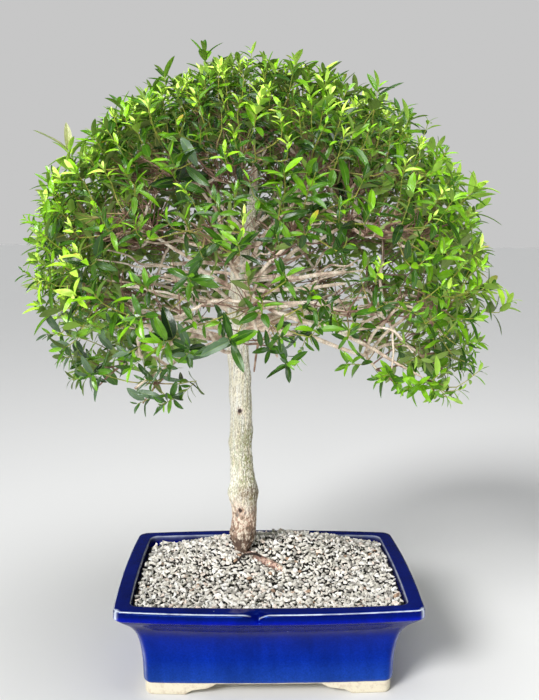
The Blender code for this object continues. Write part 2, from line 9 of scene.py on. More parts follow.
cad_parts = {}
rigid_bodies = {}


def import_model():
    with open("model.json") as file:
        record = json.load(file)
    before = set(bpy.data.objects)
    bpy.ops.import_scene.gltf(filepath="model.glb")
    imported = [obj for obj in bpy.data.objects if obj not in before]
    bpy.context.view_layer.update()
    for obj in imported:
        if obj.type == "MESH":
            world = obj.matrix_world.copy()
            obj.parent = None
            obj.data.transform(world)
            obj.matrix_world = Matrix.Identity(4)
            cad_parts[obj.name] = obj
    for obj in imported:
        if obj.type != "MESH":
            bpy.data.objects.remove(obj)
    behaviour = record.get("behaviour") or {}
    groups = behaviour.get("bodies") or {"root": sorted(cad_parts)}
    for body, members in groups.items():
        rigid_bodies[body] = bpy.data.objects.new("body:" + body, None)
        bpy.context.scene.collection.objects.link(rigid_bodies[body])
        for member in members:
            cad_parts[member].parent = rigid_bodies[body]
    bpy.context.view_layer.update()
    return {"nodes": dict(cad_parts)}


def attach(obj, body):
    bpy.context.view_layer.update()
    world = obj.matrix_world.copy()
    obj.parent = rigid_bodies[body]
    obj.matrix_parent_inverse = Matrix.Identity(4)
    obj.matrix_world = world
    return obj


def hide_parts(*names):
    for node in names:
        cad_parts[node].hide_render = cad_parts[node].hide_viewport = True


# Brush cherry bonsai in a cobalt pot. Metres, +Z up, the front is -Y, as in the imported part.

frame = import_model()

up = Vector((0, 0, 1))
nodeNames = sorted(frame["nodes"])
sprayNames = [name for name in nodeNames if name.startswith("spray_")]


# Small helpers for meshes and node trees

building = {}       # the node tree that the helpers add to
weldReach = 0.00001
goldenAngle = 2.39996
wanderScale = 28


def say(text):
    print("bonsai:", text)


def placeObject(name, mesh):
    thing = bpy.data.objects.new(name, mesh)
    bpy.context.scene.collection.objects.link(thing)
    return thing


def meshOf(name, verts, faces=(), edges=()):
    mesh = bpy.data.meshes.new(name)
    mesh.from_pydata(verts, edges, faces)
    mesh.update()
    return mesh


def ringFaces(rings, count):    # quads between rings of count points that lie one after another
    faces = []
    for first in range(0, (rings - 1) * count, count):
        for i in range(count):
            j = (i + 1) % count
            faces.append((first + i, first + j, first + count + j, first + count + i))
    return faces


def weld(thing, outward):       # points that lie together become one
    bm = bmesh.new()
    bm.from_mesh(thing.data)
    bmesh.ops.remove_doubles(bm, verts=bm.verts, dist=weldReach)
    if outward:
        bmesh.ops.recalc_face_normals(bm, faces=bm.faces)
    bm.to_mesh(thing.data)
    bm.free()


def within(value):
    return max(0.0, min(1.0, value))


def flatWay(angle, z=0.0):
    return Vector((math.cos(angle), math.sin(angle), z))


def bakeModifiers(thing):       # the evaluated shape becomes a plain mesh
    bpy.context.view_layer.update()
    graph = bpy.context.evaluated_depsgraph_get()
    mesh = bpy.data.meshes.new_from_object(thing.evaluated_get(graph))
    thing.modifiers.clear()
    old = thing.data
    thing.data = mesh
    mesh.name = thing.name
    bpy.data.meshes.remove(old)


def setFloats(mesh, name, values, domain='POINT'):
    layer = mesh.attributes.new(name, 'FLOAT', domain)
    layer.data.foreach_set("value", values)


def feed(node, inputs):     # a socket is linked and a plain value is set
    for key, value in inputs.items():
        if isinstance(value, bpy.types.NodeSocket):
            building["tree"].links.new(value, node.inputs[key])
        else:
            node.inputs[key].default_value = value


def addNode(kind, inputs=None, **settings):
    node = building["tree"].nodes.new(kind)
    for key, value in settings.items():
        setattr(node, key, value)
    feed(node, inputs or {})
    return node


def startTree(name, inputs):    # inputs are names and values, and a whole number makes an integer
    tree = bpy.data.node_groups.new(name, 'GeometryNodeTree')
    sockets = tree.interface
    sockets.new_socket("Geometry", in_out='INPUT', socket_type='NodeSocketGeometry')
    for label, value in inputs.items():
        kind = 'NodeSocketInt' if isinstance(value, int) else 'NodeSocketFloat'
        sockets.new_socket(label, in_out='INPUT', socket_type=kind).default_value = value
    sockets.new_socket("Geometry", in_out='OUTPUT', socket_type='NodeSocketGeometry')
    building["tree"] = tree
    return tree, addNode('NodeGroupInput').outputs


def endTree(geometry, material):    # real geometry with its material goes out
    real = addNode('GeometryNodeRealizeInstances', {0: geometry}).outputs[0]
    done = addNode('GeometryNodeSetMaterial', {"Geometry": real, "Material": material})
    addNode('NodeGroupOutput', {0: done.outputs[0]})


def randomOf(low, high, seed, kind='FLOAT'):
    node = addNode('FunctionNodeRandomValue', {"Seed": seed}, data_type=kind)
    slots = (2, 3, 1) if kind == 'FLOAT' else (0, 1, 0)     # low, high and the result
    feed(node, {slots[0]: low, slots[1]: high})
    return node.outputs[slots[2]]


def storedOf(name, kind='FLOAT'):
    return addNode('GeometryNodeInputNamedAttribute', {"Name": name}, data_type=kind).outputs[0]


def threeOf(x, y, z):
    return addNode('ShaderNodeCombineXYZ', {0: x, 1: y, 2: z}).outputs[0]


def turnOf(angles):
    return addNode('FunctionNodeEulerToRotation', {0: angles}).outputs[0]


def tonedOf(things, name, seed):    # each instance gets a number from 0 to 1 for its colour
    return addNode('GeometryNodeStoreNamedAttribute', {
        "Geometry": things, "Name": name, "Value": randomOf(0.0, 1.0, seed)},
                   domain='INSTANCE').outputs[0]


def runTree(thing, tree, values):
    modifier = thing.modifiers.new(tree.name, 'NODES')
    modifier.node_group = tree
    for item in tree.interface.items_tree:
        if item.item_type == 'SOCKET' and item.in_out == 'INPUT' and item.name in values:
            modifier[item.identifier] = values[item.name]
    bakeModifiers(thing)


def dressMesh(mesh, material):
    mesh.materials.clear()
    mesh.materials.append(material)


def finishPiece(thing, material, nodes):
    dressMesh(thing.data, material)
    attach(thing, "root")
    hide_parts(*nodes)


# Material helpers

def startMaterial(name):
    material = bpy.data.materials.new(name)
    material.use_nodes = True
    building["tree"] = material.node_tree
    place = addNode('ShaderNodeTexCoord').outputs["Object"]
    return material, material.node_tree.nodes["Principled BSDF"], place


def endMaterial(shader, colour, roughness, relief, distance, strength=1.0):
    bump = addNode('ShaderNodeBump', {"Height": relief, "Distance": distance,
                                      "Strength": strength})
    feed(shader, {"Base Color": colour, "Roughness": roughness, "Normal": bump.outputs[0]})


def stretched(vector, scale):
    return addNode('ShaderNodeMapping', {"Vector": vector, "Scale": scale}).outputs[0]


def noiseOf(vector, scale, detail=3.0, roughness=0.55):
    inputs = {"Vector": vector, "Scale": scale, "Detail": detail, "Roughness": roughness}
    return addNode('ShaderNodeTexNoise', inputs).outputs[0]


def mathOf(operation, first, second=0.0):
    return addNode('ShaderNodeMath', {0: first, 1: second}, operation=operation).outputs[0]


def times(first, second):
    return mathOf('MULTIPLY', first, second)


def plus(first, second):
    return mathOf('ADD', first, second)


def minus(first, second):
    return mathOf('SUBTRACT', first, second)


def rangeOf(value, low, high, toLow=0.0, toHigh=1.0):
    inputs = {0: value, 1: low, 2: high, 3: toLow, 4: toHigh}
    return addNode('ShaderNodeMapRange', inputs, clamp=True).outputs[0]


def rampOf(value, stops):
    node = addNode('ShaderNodeValToRGB', {0: value})
    ramp = node.color_ramp
    while len(ramp.elements) < len(stops):
        ramp.elements.new(0.5)
    for element, (place, colour) in zip(ramp.elements, stops):
        element.position = place
        element.color = (*colour, 1.0)
    return node.outputs[0]


def blendOf(share, first, second, mode='MIX'):      # a colour is a socket or red, green, blue
    first = (*first, 1.0) if isinstance(first, tuple) else first
    second = (*second, 1.0) if isinstance(second, tuple) else second
    node = addNode('ShaderNodeMix', {0: share, 6: first, 7: second},
                   data_type='RGBA', blend_type=mode, clamp_factor=True)
    return node.outputs[2]


def shadedBy(colour, factor):
    return blendOf(1.0, colour, factor, 'MULTIPLY')


def partsOf(vector):
    return addNode('ShaderNodeSeparateXYZ', {0: vector}).outputs


def attributeOf(name):
    return addNode('ShaderNodeAttribute', attribute_name=name).outputs["Fac"]


# Pot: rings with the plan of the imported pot, run over its lip, down inside and under its feet

potSizes = {
    "length": 0.3225, "depth": 0.2262, "height": 0.1082, "corner": 0.009,
    "frontBow": 0.010, "sideBow": 0.004, "baseBowShare": 0.35, "baseInset": 0.0285,
    "innerGain": 0.003, "floorTop": 0.0225, "footHeight": 0.0135,
    "frontSoleEnd": 0.090, "sideSoleEnd": 0.060,
    "footSteps": ((0.0, 0.0), (0.003, 0.0022), (0.009, 0.0050), (0.023, 0.0070),
                  (0.029, 0.0098), (0.034, 0.0132)),
    "footOutside": ((0.0285, 0.0132), (0.0287, 0.0110), (0.0286, 0.0040), (0.0288, 0.0018),
                    (0.0294, 0.0006), (0.0305, 0.0)),
    "footInside": ((0.0485, 0.0), (0.0498, 0.0006), (0.0504, 0.0018), (0.0505, 0.0060),
                   (0.0507, 0.0120), (0.0520, 0.0134)),
    # outside wall from its glaze line up to the lip, then over the lip: inset, height
    "wall": ((0.0285, 0.0139), (0.0280, 0.0150), (0.0272, 0.0160), (0.0268, 0.0180),
             (0.0266, 0.0250), (0.0263, 0.0330), (0.0260, 0.0400), (0.0252, 0.0480),
             (0.0241, 0.0560), (0.0226, 0.0630), (0.0207, 0.0700), (0.0187, 0.0747),
             (0.0163, 0.0790), (0.0130, 0.0838), (0.0090, 0.0880), (0.0058, 0.0910),
             (0.0036, 0.0932), (0.0026, 0.0944), (0.0021, 0.0952)),
    "band": ((0.0016, 0.0956), (0.0009, 0.0961), (0.0003, 0.0969), (0.0, 0.0980),
             (0.0, 0.0995), (0.0, 0.1010), (0.0, 0.1025), (0.0, 0.1040), (0.0001, 0.1052),
             (0.0004, 0.1062), (0.0007, 0.1067), (0.0009, 0.1070), (0.0012, 0.1073),
             (0.0016, 0.1077), (0.0026, 0.1081),
             (0.0038, 0.1082), (0.0060, 0.1082), (0.0100, 0.1081), (0.0135, 0.1081),
             (0.0152, 0.1079), (0.0161, 0.1073), (0.0166, 0.1063), (0.0168, 0.1045)),
    "inside": ((0.0169, 0.1000), (0.0172, 0.0920), (0.0260, 0.0780), (0.0340, 0.0500),
               (0.0365, 0.0228), (0.0372, 0.0225)),
    "underInsets": (0.088, 0.070), "floorInsets": (0.050, 0.075, 0.095),
    "notchX": -0.012, "notchLeft": 0.0165, "notchRight": 0.0120, "notchDrop": 0.0064,
    "notchDepth": 0.0022, "notchFloor": 0.0964, "notchFade": 0.0075, "notchCurve": 1.7,
    "drainX": 0.065, "drainRadius": 0.011, "drainDepth": 0.06, "drainMiddle": 0.02,
    "cornerSteps": 7, "sideStep": 0.030, "frontStep": 0.016, "notchStep": 0.0055,
    # the pale edge of the glaze, thin glaze with a painted highlight on it: a line round the lip,
    # and worn corners that also carry a painted highlight
    "lineHeight": 0.1070, "lineHalf": 0.0005, "wallCornerWearAndHighlight": 0.22, "bandCornerWearAndHighlight": 0.85,
    "outerEnd": 0.003, "gainReach": 0.012, "innerLine": (0.0161, 0.0008, 0.5),
    "cornerSpread": 0.13, "leftFade": 1.8, "rightFade": 0.6, "sharpAngle": 50,
    "wobble": 0.00022, "wobbleScale": 26,
}


def potStations(sizes):     # (side, share) round the plan; a share runs along its straight part
    def straight(step, dense):
        shares = [-1 + index * step for index in range(int(round(2 / step)) + 1)]
        if dense:
            middle = sizes["notchX"] / (sizes["length"] / 2 - sizes["corner"])
            reach = sizes["notchLeft"] * 1.2 / (sizes["length"] / 2)
            shares = [share for share in shares if abs(share - middle) > reach]
            count = int(reach / sizes["notchStep"])
            shares += [middle + index * sizes["notchStep"] for index in range(-count, count + 1)]
        return sorted(shares)
    stations = []
    for side in range(4):
        step = sizes["sideStep"] if side % 2 == 0 else sizes["frontStep"]
        stations += [(side, share) for share in straight(step, side == 3)]
        stations += [(side, 1 + (index + 1) / (sizes["cornerSteps"] + 1))
                     for index in range(sizes["cornerSteps"])]
    return stations


# Point of the plan at an inset. Sides run anticlockwise from +X; 1 to 2 is the corner after one
def potPoint(sizes, station, inset, gain=0.0):
    side, share = station
    corner = sizes["corner"]
    halfX = sizes["length"] / 2 - inset
    halfY = sizes["depth"] / 2 - inset + gain
    straightX, straightY = halfX - corner, halfY - corner
    turn = max(0.0, share - 1) * math.pi / 2
    run = min(share, 1.0)
    if side % 2 == 0:
        x, y = straightX + corner * math.cos(turn), straightY * run + corner * math.sin(turn)
    else:
        x, y = -straightX * run - corner * math.sin(turn), straightY + corner * math.cos(turn)
    if side >= 2:
        x, y = -x, -y
    bow = max(1 - (1 - sizes["baseBowShare"]) * inset / sizes["baseInset"], sizes["baseBowShare"])
    bowX = sizes["sideBow"] * bow * (1 - (y / halfY) ** 2) * (x / halfX)
    bowY = sizes["frontBow"] * bow * (1 - (x / halfX) ** 2) * (y / halfY)
    return x + bowX, y + bowY


def footRise(sizes, x, y, side):    # height of the cut between two feet, over the sole
    run = sizes["frontSoleEnd"] - abs(x) if side % 2 else sizes["sideSoleEnd"] - abs(y)
    steps = sizes["footSteps"]
    if run <= 0:
        return 0.0
    for (runA, riseA), (runB, riseB) in zip(steps, steps[1:]):
        if run <= runB:
            share = (run - runA) / (runB - runA)
            return riseA + (riseB - riseA) * (share * share * (3 - 2 * share) * 0.6 + share * 0.4)
    return steps[-1][1]


def notchDip(sizes, x, inset, z):   # how far the lip is pressed down and in, at the V
    past = x - sizes["notchX"]
    away = past / sizes["notchRight"] if past > 0 else -past / sizes["notchLeft"]
    if away >= 1 or inset > sizes["notchFade"]:
        return 0.0, 0.0
    deep = (1 - away) ** sizes["notchCurve"]
    fade = (1 - inset / sizes["notchFade"]) ** 1.4
    high = within((z - sizes["notchFloor"]) / (sizes["height"] - sizes["notchFloor"]))
    return sizes["notchDrop"] * deep * fade * high, sizes["notchDepth"] * deep * fade * high


def potRing(sizes, stations, inset, height, gain=0.0, under=False, lip=False):
    ring = []
    top = sizes["footHeight"]
    for station in stations:
        x, y = potPoint(sizes, station, inset, gain)
        z = height
        if under:
            rise = footRise(sizes, x, y, station[0])
            z = rise + (top - rise) * height / top
        if lip and y < 0:
            dip, dent = notchDip(sizes, x, inset, z)
            y += dent
            z -= dip
        wobble = noise.noise(Vector((x, y, z)) * sizes["wobbleScale"]) * sizes["wobble"]
        length = math.hypot(x, y)
        ring.append((x + wobble * x / length, y + wobble * y / length, z))
    return ring


def makePot(sizes, material):
    stations = potStations(sizes)
    count = len(stations)
    rings, wearAndHighlight = [], []

    def addRing(inset, height, breakAndHighlight=(0.0, 0.0), **options):
        rings.append(potRing(sizes, stations, inset, height, **options))
        wearAndHighlight.append(breakAndHighlight)     # share of pale glaze and painted highlight along the ring and at its corners

    for inset in sizes["underInsets"]:
        addRing(inset, sizes["footHeight"], under=True)
    for inset, height in sizes["footInside"][::-1] + sizes["footOutside"][::-1]:
        addRing(inset, height, under=True)
    for inset, height in sizes["wall"]:
        addRing(inset, height, (0.0, sizes["wallCornerWearAndHighlight"]))
    for inset, height in sizes["band"]:
        gain = sizes["innerGain"] * within((inset - sizes["outerEnd"]) / sizes["gainReach"])
        away = abs(height - sizes["lineHeight"]) / sizes["lineHalf"]
        outer = max(0.0, 1 - away) if inset < sizes["outerEnd"] else 0.0
        middle, half, share = sizes["innerLine"]
        inner = max(0.0, 1 - abs(inset - middle) / half) * share
        corner = sizes["bandCornerWearAndHighlight"] if inset < 0.002 and height > 0.0975 else 0.0
        addRing(inset, height, (max(outer, inner), corner), gain=gain, lip=True)
    for inset, height in sizes["inside"]:
        addRing(inset, height, gain=sizes["innerGain"])
    for inset in sizes["floorInsets"]:
        addRing(inset, sizes["floorTop"])
    verts = sum(rings, [])
    faces = ringFaces(len(rings), count)
    for ringIndex, height, flip in ((0, sizes["footHeight"], True),
                                    (len(rings) - 1, sizes["floorTop"], False)):
        verts.append((0.0, 0.0, height))
        centre = len(verts) - 1
        for i in range(count):
            j = (i + 1) % count
            fan = (ringIndex * count + i, ringIndex * count + j, centre)
            faces.append(fan[::-1] if flip else fan)
    mesh = meshOf("pot_glazed", verts, faces)
    corners = [math.exp(-((share - 1.5) / sizes["cornerSpread"]) ** 2) for side, share in stations]
    kept = []       # the pale line fades over the V's left flank and thins over its right one
    for station in stations:
        past = potPoint(sizes, station, 0.0)[0] - sizes["notchX"] if station[0] == 3 else 1.0
        flank = sizes["notchRight"] if past > 0 else sizes["notchLeft"]
        share = max(0.0, 1 - abs(past) / flank)
        kept.append(1 - share * sizes["rightFade"] if past > 0 else
                    1 - min(1.0, share * sizes["leftFade"]))
    # pale glaze edge and its painted highlight, at each point of each ring
    wearAndHighlightValues = [max(value * keep, corner * share)
                  for value, share in wearAndHighlight for corner, keep in zip(corners, kept)]
    setFloats(mesh, "edgeBreak", wearAndHighlightValues + [0.0, 0.0])
    pot = placeObject("pot_glazed", mesh)
    drills = []
    for side in (-1, 1):
        bm = bmesh.new()
        bmesh.ops.create_cone(bm, cap_ends=True, segments=48, radius1=sizes["drainRadius"],
                              radius2=sizes["drainRadius"], depth=sizes["drainDepth"])
        middle = (side * sizes["drainX"], 0, sizes["drainMiddle"])
        bmesh.ops.translate(bm, vec=middle, verts=bm.verts)
        drillMesh = bpy.data.meshes.new("drill")
        bm.to_mesh(drillMesh)
        bm.free()
        drill = placeObject("drill", drillMesh)
        drills.append(drill)
        cut = pot.modifiers.new("drain", 'BOOLEAN')
        cut.operation = 'DIFFERENCE'
        cut.object = drill
    bakeModifiers(pot)
    for drill in drills:
        bpy.data.objects.remove(drill, do_unlink=True)
    pot.data.shade_smooth()
    pot.data.set_sharp_from_angle(angle=math.radians(sizes["sharpAngle"]))
    finishPiece(pot, material, ["pot"])


glazeLook = {
    "low": (0.009, 0.042, 0.24), "middle": (0.001, 0.015, 0.210), "high": (0.001, 0.010, 0.180),
    # under the lip: painted shade of its overhang; low on the band: a painted highlight on its
    # rounding
    "shadeUnderLip": (0.004, 0.006, 0.098), "bandLowHighlight": (0.0006, 0.004, 0.24),
    "band": (0.0006, 0.003, 0.09), "lip": (0.0006, 0.007, 0.14), "speck": (0.34, 0.37, 0.48),
    "edge": (0.80, 0.88, 0.98), "clay": (0.65, 0.595, 0.445), "clayStain": (0.34, 0.22, 0.13),
    "roughness": 0.08, "clayRoughness": 0.75, "shine": 0.30, "shineTint": (0.06, 0.22, 1.0),
}


def glazeMaterial(look):
    material, shader, place = startMaterial("cobalt_glaze_fine")
    height = partsOf(place)[2]
    # the wall is painted lighter towards its foot, as a reflection of the floor, and darker up
    # under the lip, as its shade
    body = rampOf(rangeOf(height, 0.0135, 0.1085),
                  ((0.0, look["low"]), (0.30, look["middle"]), (0.58, look["high"]),
                   (0.70, look["shadeUnderLip"]), (0.855, look["shadeUnderLip"]), (0.872, look["bandLowHighlight"]),
                   (0.90, look["bandLowHighlight"]), (0.935, look["band"]), (0.985, look["band"]),
                   (0.995, look["lip"])))
    streaks = noiseOf(stretched(place, (75, 75, 6)), 1.0, 5.0)
    clouds = noiseOf(place, 22.0, 3.0)
    tone = plus(rangeOf(streaks, 0.25, 0.75, 0.80, 1.20), rangeOf(clouds, 0.3, 0.7, -0.18, 0.18))
    body = shadedBy(body, tone)
    mottle = noiseOf(place, 480.0, 3.0, 0.7)
    body = shadedBy(body, rangeOf(mottle, 0.3, 0.7, 0.80, 1.24))
    cells = addNode('ShaderNodeTexVoronoi', {"Vector": place, "Scale": 210.0}).outputs
    # most specks are in the upper half
    rare = mathOf('GREATER_THAN', cells["Color"], rangeOf(height, 0.03, 0.09, 0.985, 0.925))
    speck = times(mathOf('LESS_THAN', cells["Distance"], 0.13), rare)
    body = blendOf(times(speck, 0.6), body, look["speck"])
    # pale line and corners of the lip: thin, worn glaze with a painted highlight
    wearAndHighlight = attributeOf("edgeBreak")
    thin = rangeOf(noiseOf(place, 60.0, 2.0), 0.3, 0.6, 0.45, 1.0)
    body = blendOf(times(wearAndHighlight, thin), body, look["edge"])
    stain = rangeOf(noiseOf(place, 150.0, 6.0, 0.7), 0.50, 0.68)
    clay = blendOf(times(stain, 0.5), look["clay"], look["clayStain"])
    line = times(noiseOf(place, 120.0, 2.0), 0.0009)
    glazed = rangeOf(minus(height, line), 0.01345, 0.01365)
    colour = blendOf(glazed, clay, body)
    rough = rangeOf(glazed, 0.0, 1.0, look["clayRoughness"], look["roughness"])
    ripple = noiseOf(place, 75.0, 2.0)
    grain = times(noiseOf(place, 900.0, 3.0), rangeOf(glazed, 0.0, 1.0, 0.6, 0.0))
    endMaterial(shader, colour, rough, plus(ripple, grain), 0.0004, 0.5)
    feed(shader, {"IOR": 1.52, "Specular IOR Level": look["shine"],
                  "Specular Tint": (*look["shineTint"], 1.0)})
    return material


# Grit: thousands of angular stones over a dark base, painted as the shade in the gaps between them

gritSizes = {
    "edge": 0.1005, "tilt": 0.035, "rise": 0.0245, "centre": (0.016, 0.063),
    "spread": (0.082, 0.050), "backFall": (0.084, 0.014, 0.25),
    "baseDrop": 0.0036, "wallGap": 0.0008, "stoneWallGap": 0.0038,
    "wallInset": 0.0168, "middleInset": 0.004, "stoneDrop": 0.0012, "ripple": 0.0012,
    "rippleScale": 38,
    # the buried wall of the dark base: inset, height
    "walls": ((0.1000, 0.0245), (0.0374, 0.0245), (0.0350, 0.0500), (0.0270, 0.0780),
              (0.0180, 0.0920)),
    "rings": 30, "sideSteps": 30, "stoneKinds": 14, "stoneCorners": 13, "pitch": 0.0032,
    "stoneSize": 0.0048, "sizeSpread": 0.45, "heightSpread": 0.0038, "stoneTilt": 0.6, "seed": 5,
}


def bedHeight(sizes, x, y):
    across = (x - sizes["centre"][0]) / sizes["spread"][0]
    along = (y - sizes["centre"][1]) / sizes["spread"][1]
    mound = sizes["rise"] * math.exp(-(across ** 2 + along ** 2) / 2)
    scale = sizes["rippleScale"]
    ripple = sizes["ripple"] * noise.noise(Vector((x * scale, y * scale, 0.3)))
    start, reach, share = sizes["backFall"]     # the heap falls off to the pot's back wall
    mound *= 1 - share * within((y - start) / reach) ** 2
    return sizes["edge"] - sizes["tilt"] * y + mound + ripple


bedStations = [(side, -1 + 2 * index / gritSizes["sideSteps"])
               for side in range(4) for index in range(gritSizes["sideSteps"] + 1)]


def bedRings(gap, drop):    # rings from the pot's inner wall to the middle of the bed
    sizes, pot = gritSizes, potSizes
    rings = []
    firstInset = sizes["wallInset"] + gap
    lastInset = pot["depth"] / 2 - sizes["middleInset"]
    for index in range(sizes["rings"] + 1):
        inset = firstInset + (lastInset - firstInset) * index / sizes["rings"]
        ring = []
        for station in bedStations:
            x, y = potPoint(pot, station, inset, pot["innerGain"])
            ring.append((x, y, bedHeight(sizes, x, y) - drop))
        rings.append(ring)
    return rings


def makeGritBase(material):
    sizes, pot = gritSizes, potSizes
    rings = bedRings(sizes["wallGap"], sizes["baseDrop"])
    gain = pot["innerGain"]
    rings = [[(*potPoint(pot, station, inset, gain), height) for station in bedStations]
             for inset, height in sizes["walls"]] + rings
    count = len(bedStations)
    verts = sum(rings, [])
    faces = ringFaces(len(rings), count)
    faces.append(tuple(reversed(range(count))))
    faces.append(tuple(range((len(rings) - 1) * count, len(rings) * count)))
    base = placeObject("grit_base", meshOf("grit_base", verts, faces))
    weld(base, True)
    finishPiece(base, material, ["grit_bed"])


def stoneMesh(index):   # the hull of a few points strewn over a squashed ball
    rng = random.Random(gritSizes["seed"] * 50 + index)
    bm = bmesh.new()
    stretch = (rng.uniform(0.95, 1.55), rng.uniform(0.60, 0.92), rng.uniform(0.50, 0.85))
    for corner in range(gritSizes["stoneCorners"]):
        way = Vector([rng.gauss(0, 1) for axis in range(3)]).normalized()
        way *= rng.uniform(0.42, 0.54)
        bm.verts.new([part * size for part, size in zip(way, stretch)])
    hull = bmesh.ops.convex_hull(bm, input=bm.verts)
    spare = [item for item in hull["geom_interior"] + hull["geom_unused"]
             if isinstance(item, bmesh.types.BMVert)]
    bmesh.ops.delete(bm, geom=list(set(spare)), context='VERTS')
    bmesh.ops.recalc_face_normals(bm, faces=bm.faces)
    mesh = bpy.data.meshes.new("stone_kind")
    bm.to_mesh(mesh)
    bm.free()
    return mesh


def kindCollection(name, meshes):
    kinds = bpy.data.collections.new(name)
    bpy.context.scene.collection.children.link(kinds)
    for index, mesh in enumerate(meshes):
        kinds.objects.link(bpy.data.objects.new(name + "_" + str(index).zfill(2), mesh))
    return kinds


def dropCollection(kinds):
    for thing in list(kinds.objects):
        bpy.data.objects.remove(thing, do_unlink=True)
    bpy.data.collections.remove(kinds)


def scatter(points, kinds, rotation, scale):    # one of the kinds stands on each point
    kind = addNode('GeometryNodeCollectionInfo', {
        "Collection": kinds, "Separate Children": True, "Reset Children": True})
    return addNode('GeometryNodeInstanceOnPoints', {
        "Points": points, "Instance": kind.outputs[0], "Pick Instance": True,
        "Rotation": rotation, "Scale": scale}).outputs[0]


def stoneTree(kinds, material):
    tree, given = startTree("stone_scatter", {
        "Stone Pitch": 0.0034, "Stone Size": 0.005, "Size Spread": 0.4, "Height Spread": 0.002,
        "Seed": 5})
    tilt = gritSizes["stoneTilt"]
    points = addNode('GeometryNodeDistributePointsOnFaces', {
        "Mesh": given["Geometry"], "Distance Min": given["Stone Pitch"],
        "Density Max": 900000.0, "Seed": given["Seed"]}, distribute_method='POISSON')
    rise = times(randomOf(-0.5, 0.5, given["Seed"]), given["Height Spread"])
    moved = addNode('GeometryNodeSetPosition', {
        "Geometry": points.outputs["Points"], "Offset": threeOf(0.0, 0.0, rise)})
    spread = randomOf(minus(1.0, given["Size Spread"]), plus(1.0, given["Size Spread"]),
                      given["Seed"])
    turn = randomOf((-tilt, -tilt, 0.0), (tilt, tilt, 6.283), given["Seed"], 'FLOAT_VECTOR')
    size = times(spread, given["Stone Size"])
    stones = scatter(moved.outputs[0], kinds, turnOf(turn), size)
    endTree(tonedOf(stones, "stoneTone", 77), material)
    return tree


def makeStones(material):
    sizes = gritSizes
    rings = bedRings(sizes["stoneWallGap"], sizes["stoneDrop"])
    count = len(rings[0])
    verts = sum(rings, [])
    faces = ringFaces(len(rings), count)
    faces.append(tuple(range((len(rings) - 1) * count, len(rings) * count)))
    field = placeObject("grit_stones", meshOf("grit_field", verts, faces))
    weld(field, False)
    kinds = kindCollection("stone_kind", [stoneMesh(i) for i in range(sizes["stoneKinds"])])
    runTree(field, stoneTree(kinds, material), {
        "Stone Pitch": sizes["pitch"], "Stone Size": sizes["stoneSize"],
        "Size Spread": sizes["sizeSpread"], "Height Spread": sizes["heightSpread"],
        "Seed": sizes["seed"]})
    dropCollection(kinds)
    field.data.shade_flat()
    finishPiece(field, material, ["grit_bed"])
    say("stones: " + str(len(field.data.polygons)) + " faces")


gritLook = {
    "tones": ((0.0, (0.24, 0.225, 0.20)), (0.05, (0.54, 0.51, 0.46)),
              (0.22, (0.76, 0.72, 0.64)), (0.48, (0.89, 0.85, 0.77)),
              (0.74, (0.96, 0.93, 0.87)), (0.91, (1.0, 0.99, 0.95)),
              (0.94, (0.90, 0.77, 0.67)), (0.975, (0.92, 0.80, 0.71)),
              (0.988, (0.46, 0.31, 0.21))),
    "roughness": 0.85,
}


def gritMaterial(look):
    material, shader, place = startMaterial("crushed_grit_fine")
    base = rampOf(attributeOf("stoneTone"), look["tones"])
    grain = noiseOf(place, 900.0, 4.0, 0.7)
    colour = shadedBy(base, rangeOf(grain, 0.3, 0.7, 0.67, 1.31))
    fleck = mathOf('GREATER_THAN', noiseOf(place, 1700.0, 1.0), 0.66)
    colour = blendOf(times(fleck, 0.35), colour, (0.20, 0.18, 0.16))
    endMaterial(shader, colour, look["roughness"], grain, 0.0003, 0.6)
    return material


def soilMaterial():
    material, shader, place = startMaterial("grit_shadow")
    gapShadeNoise = noiseOf(place, 500.0, 4.0)
    # near black: painted shade seen in the gaps between the stones
    colour = rampOf(gapShadeNoise, ((0.3, (0.010, 0.009, 0.007)), (0.7, (0.045, 0.040, 0.033))))
    endMaterial(shader, colour, 0.95, gapShadeNoise, 0.0012)
    return material


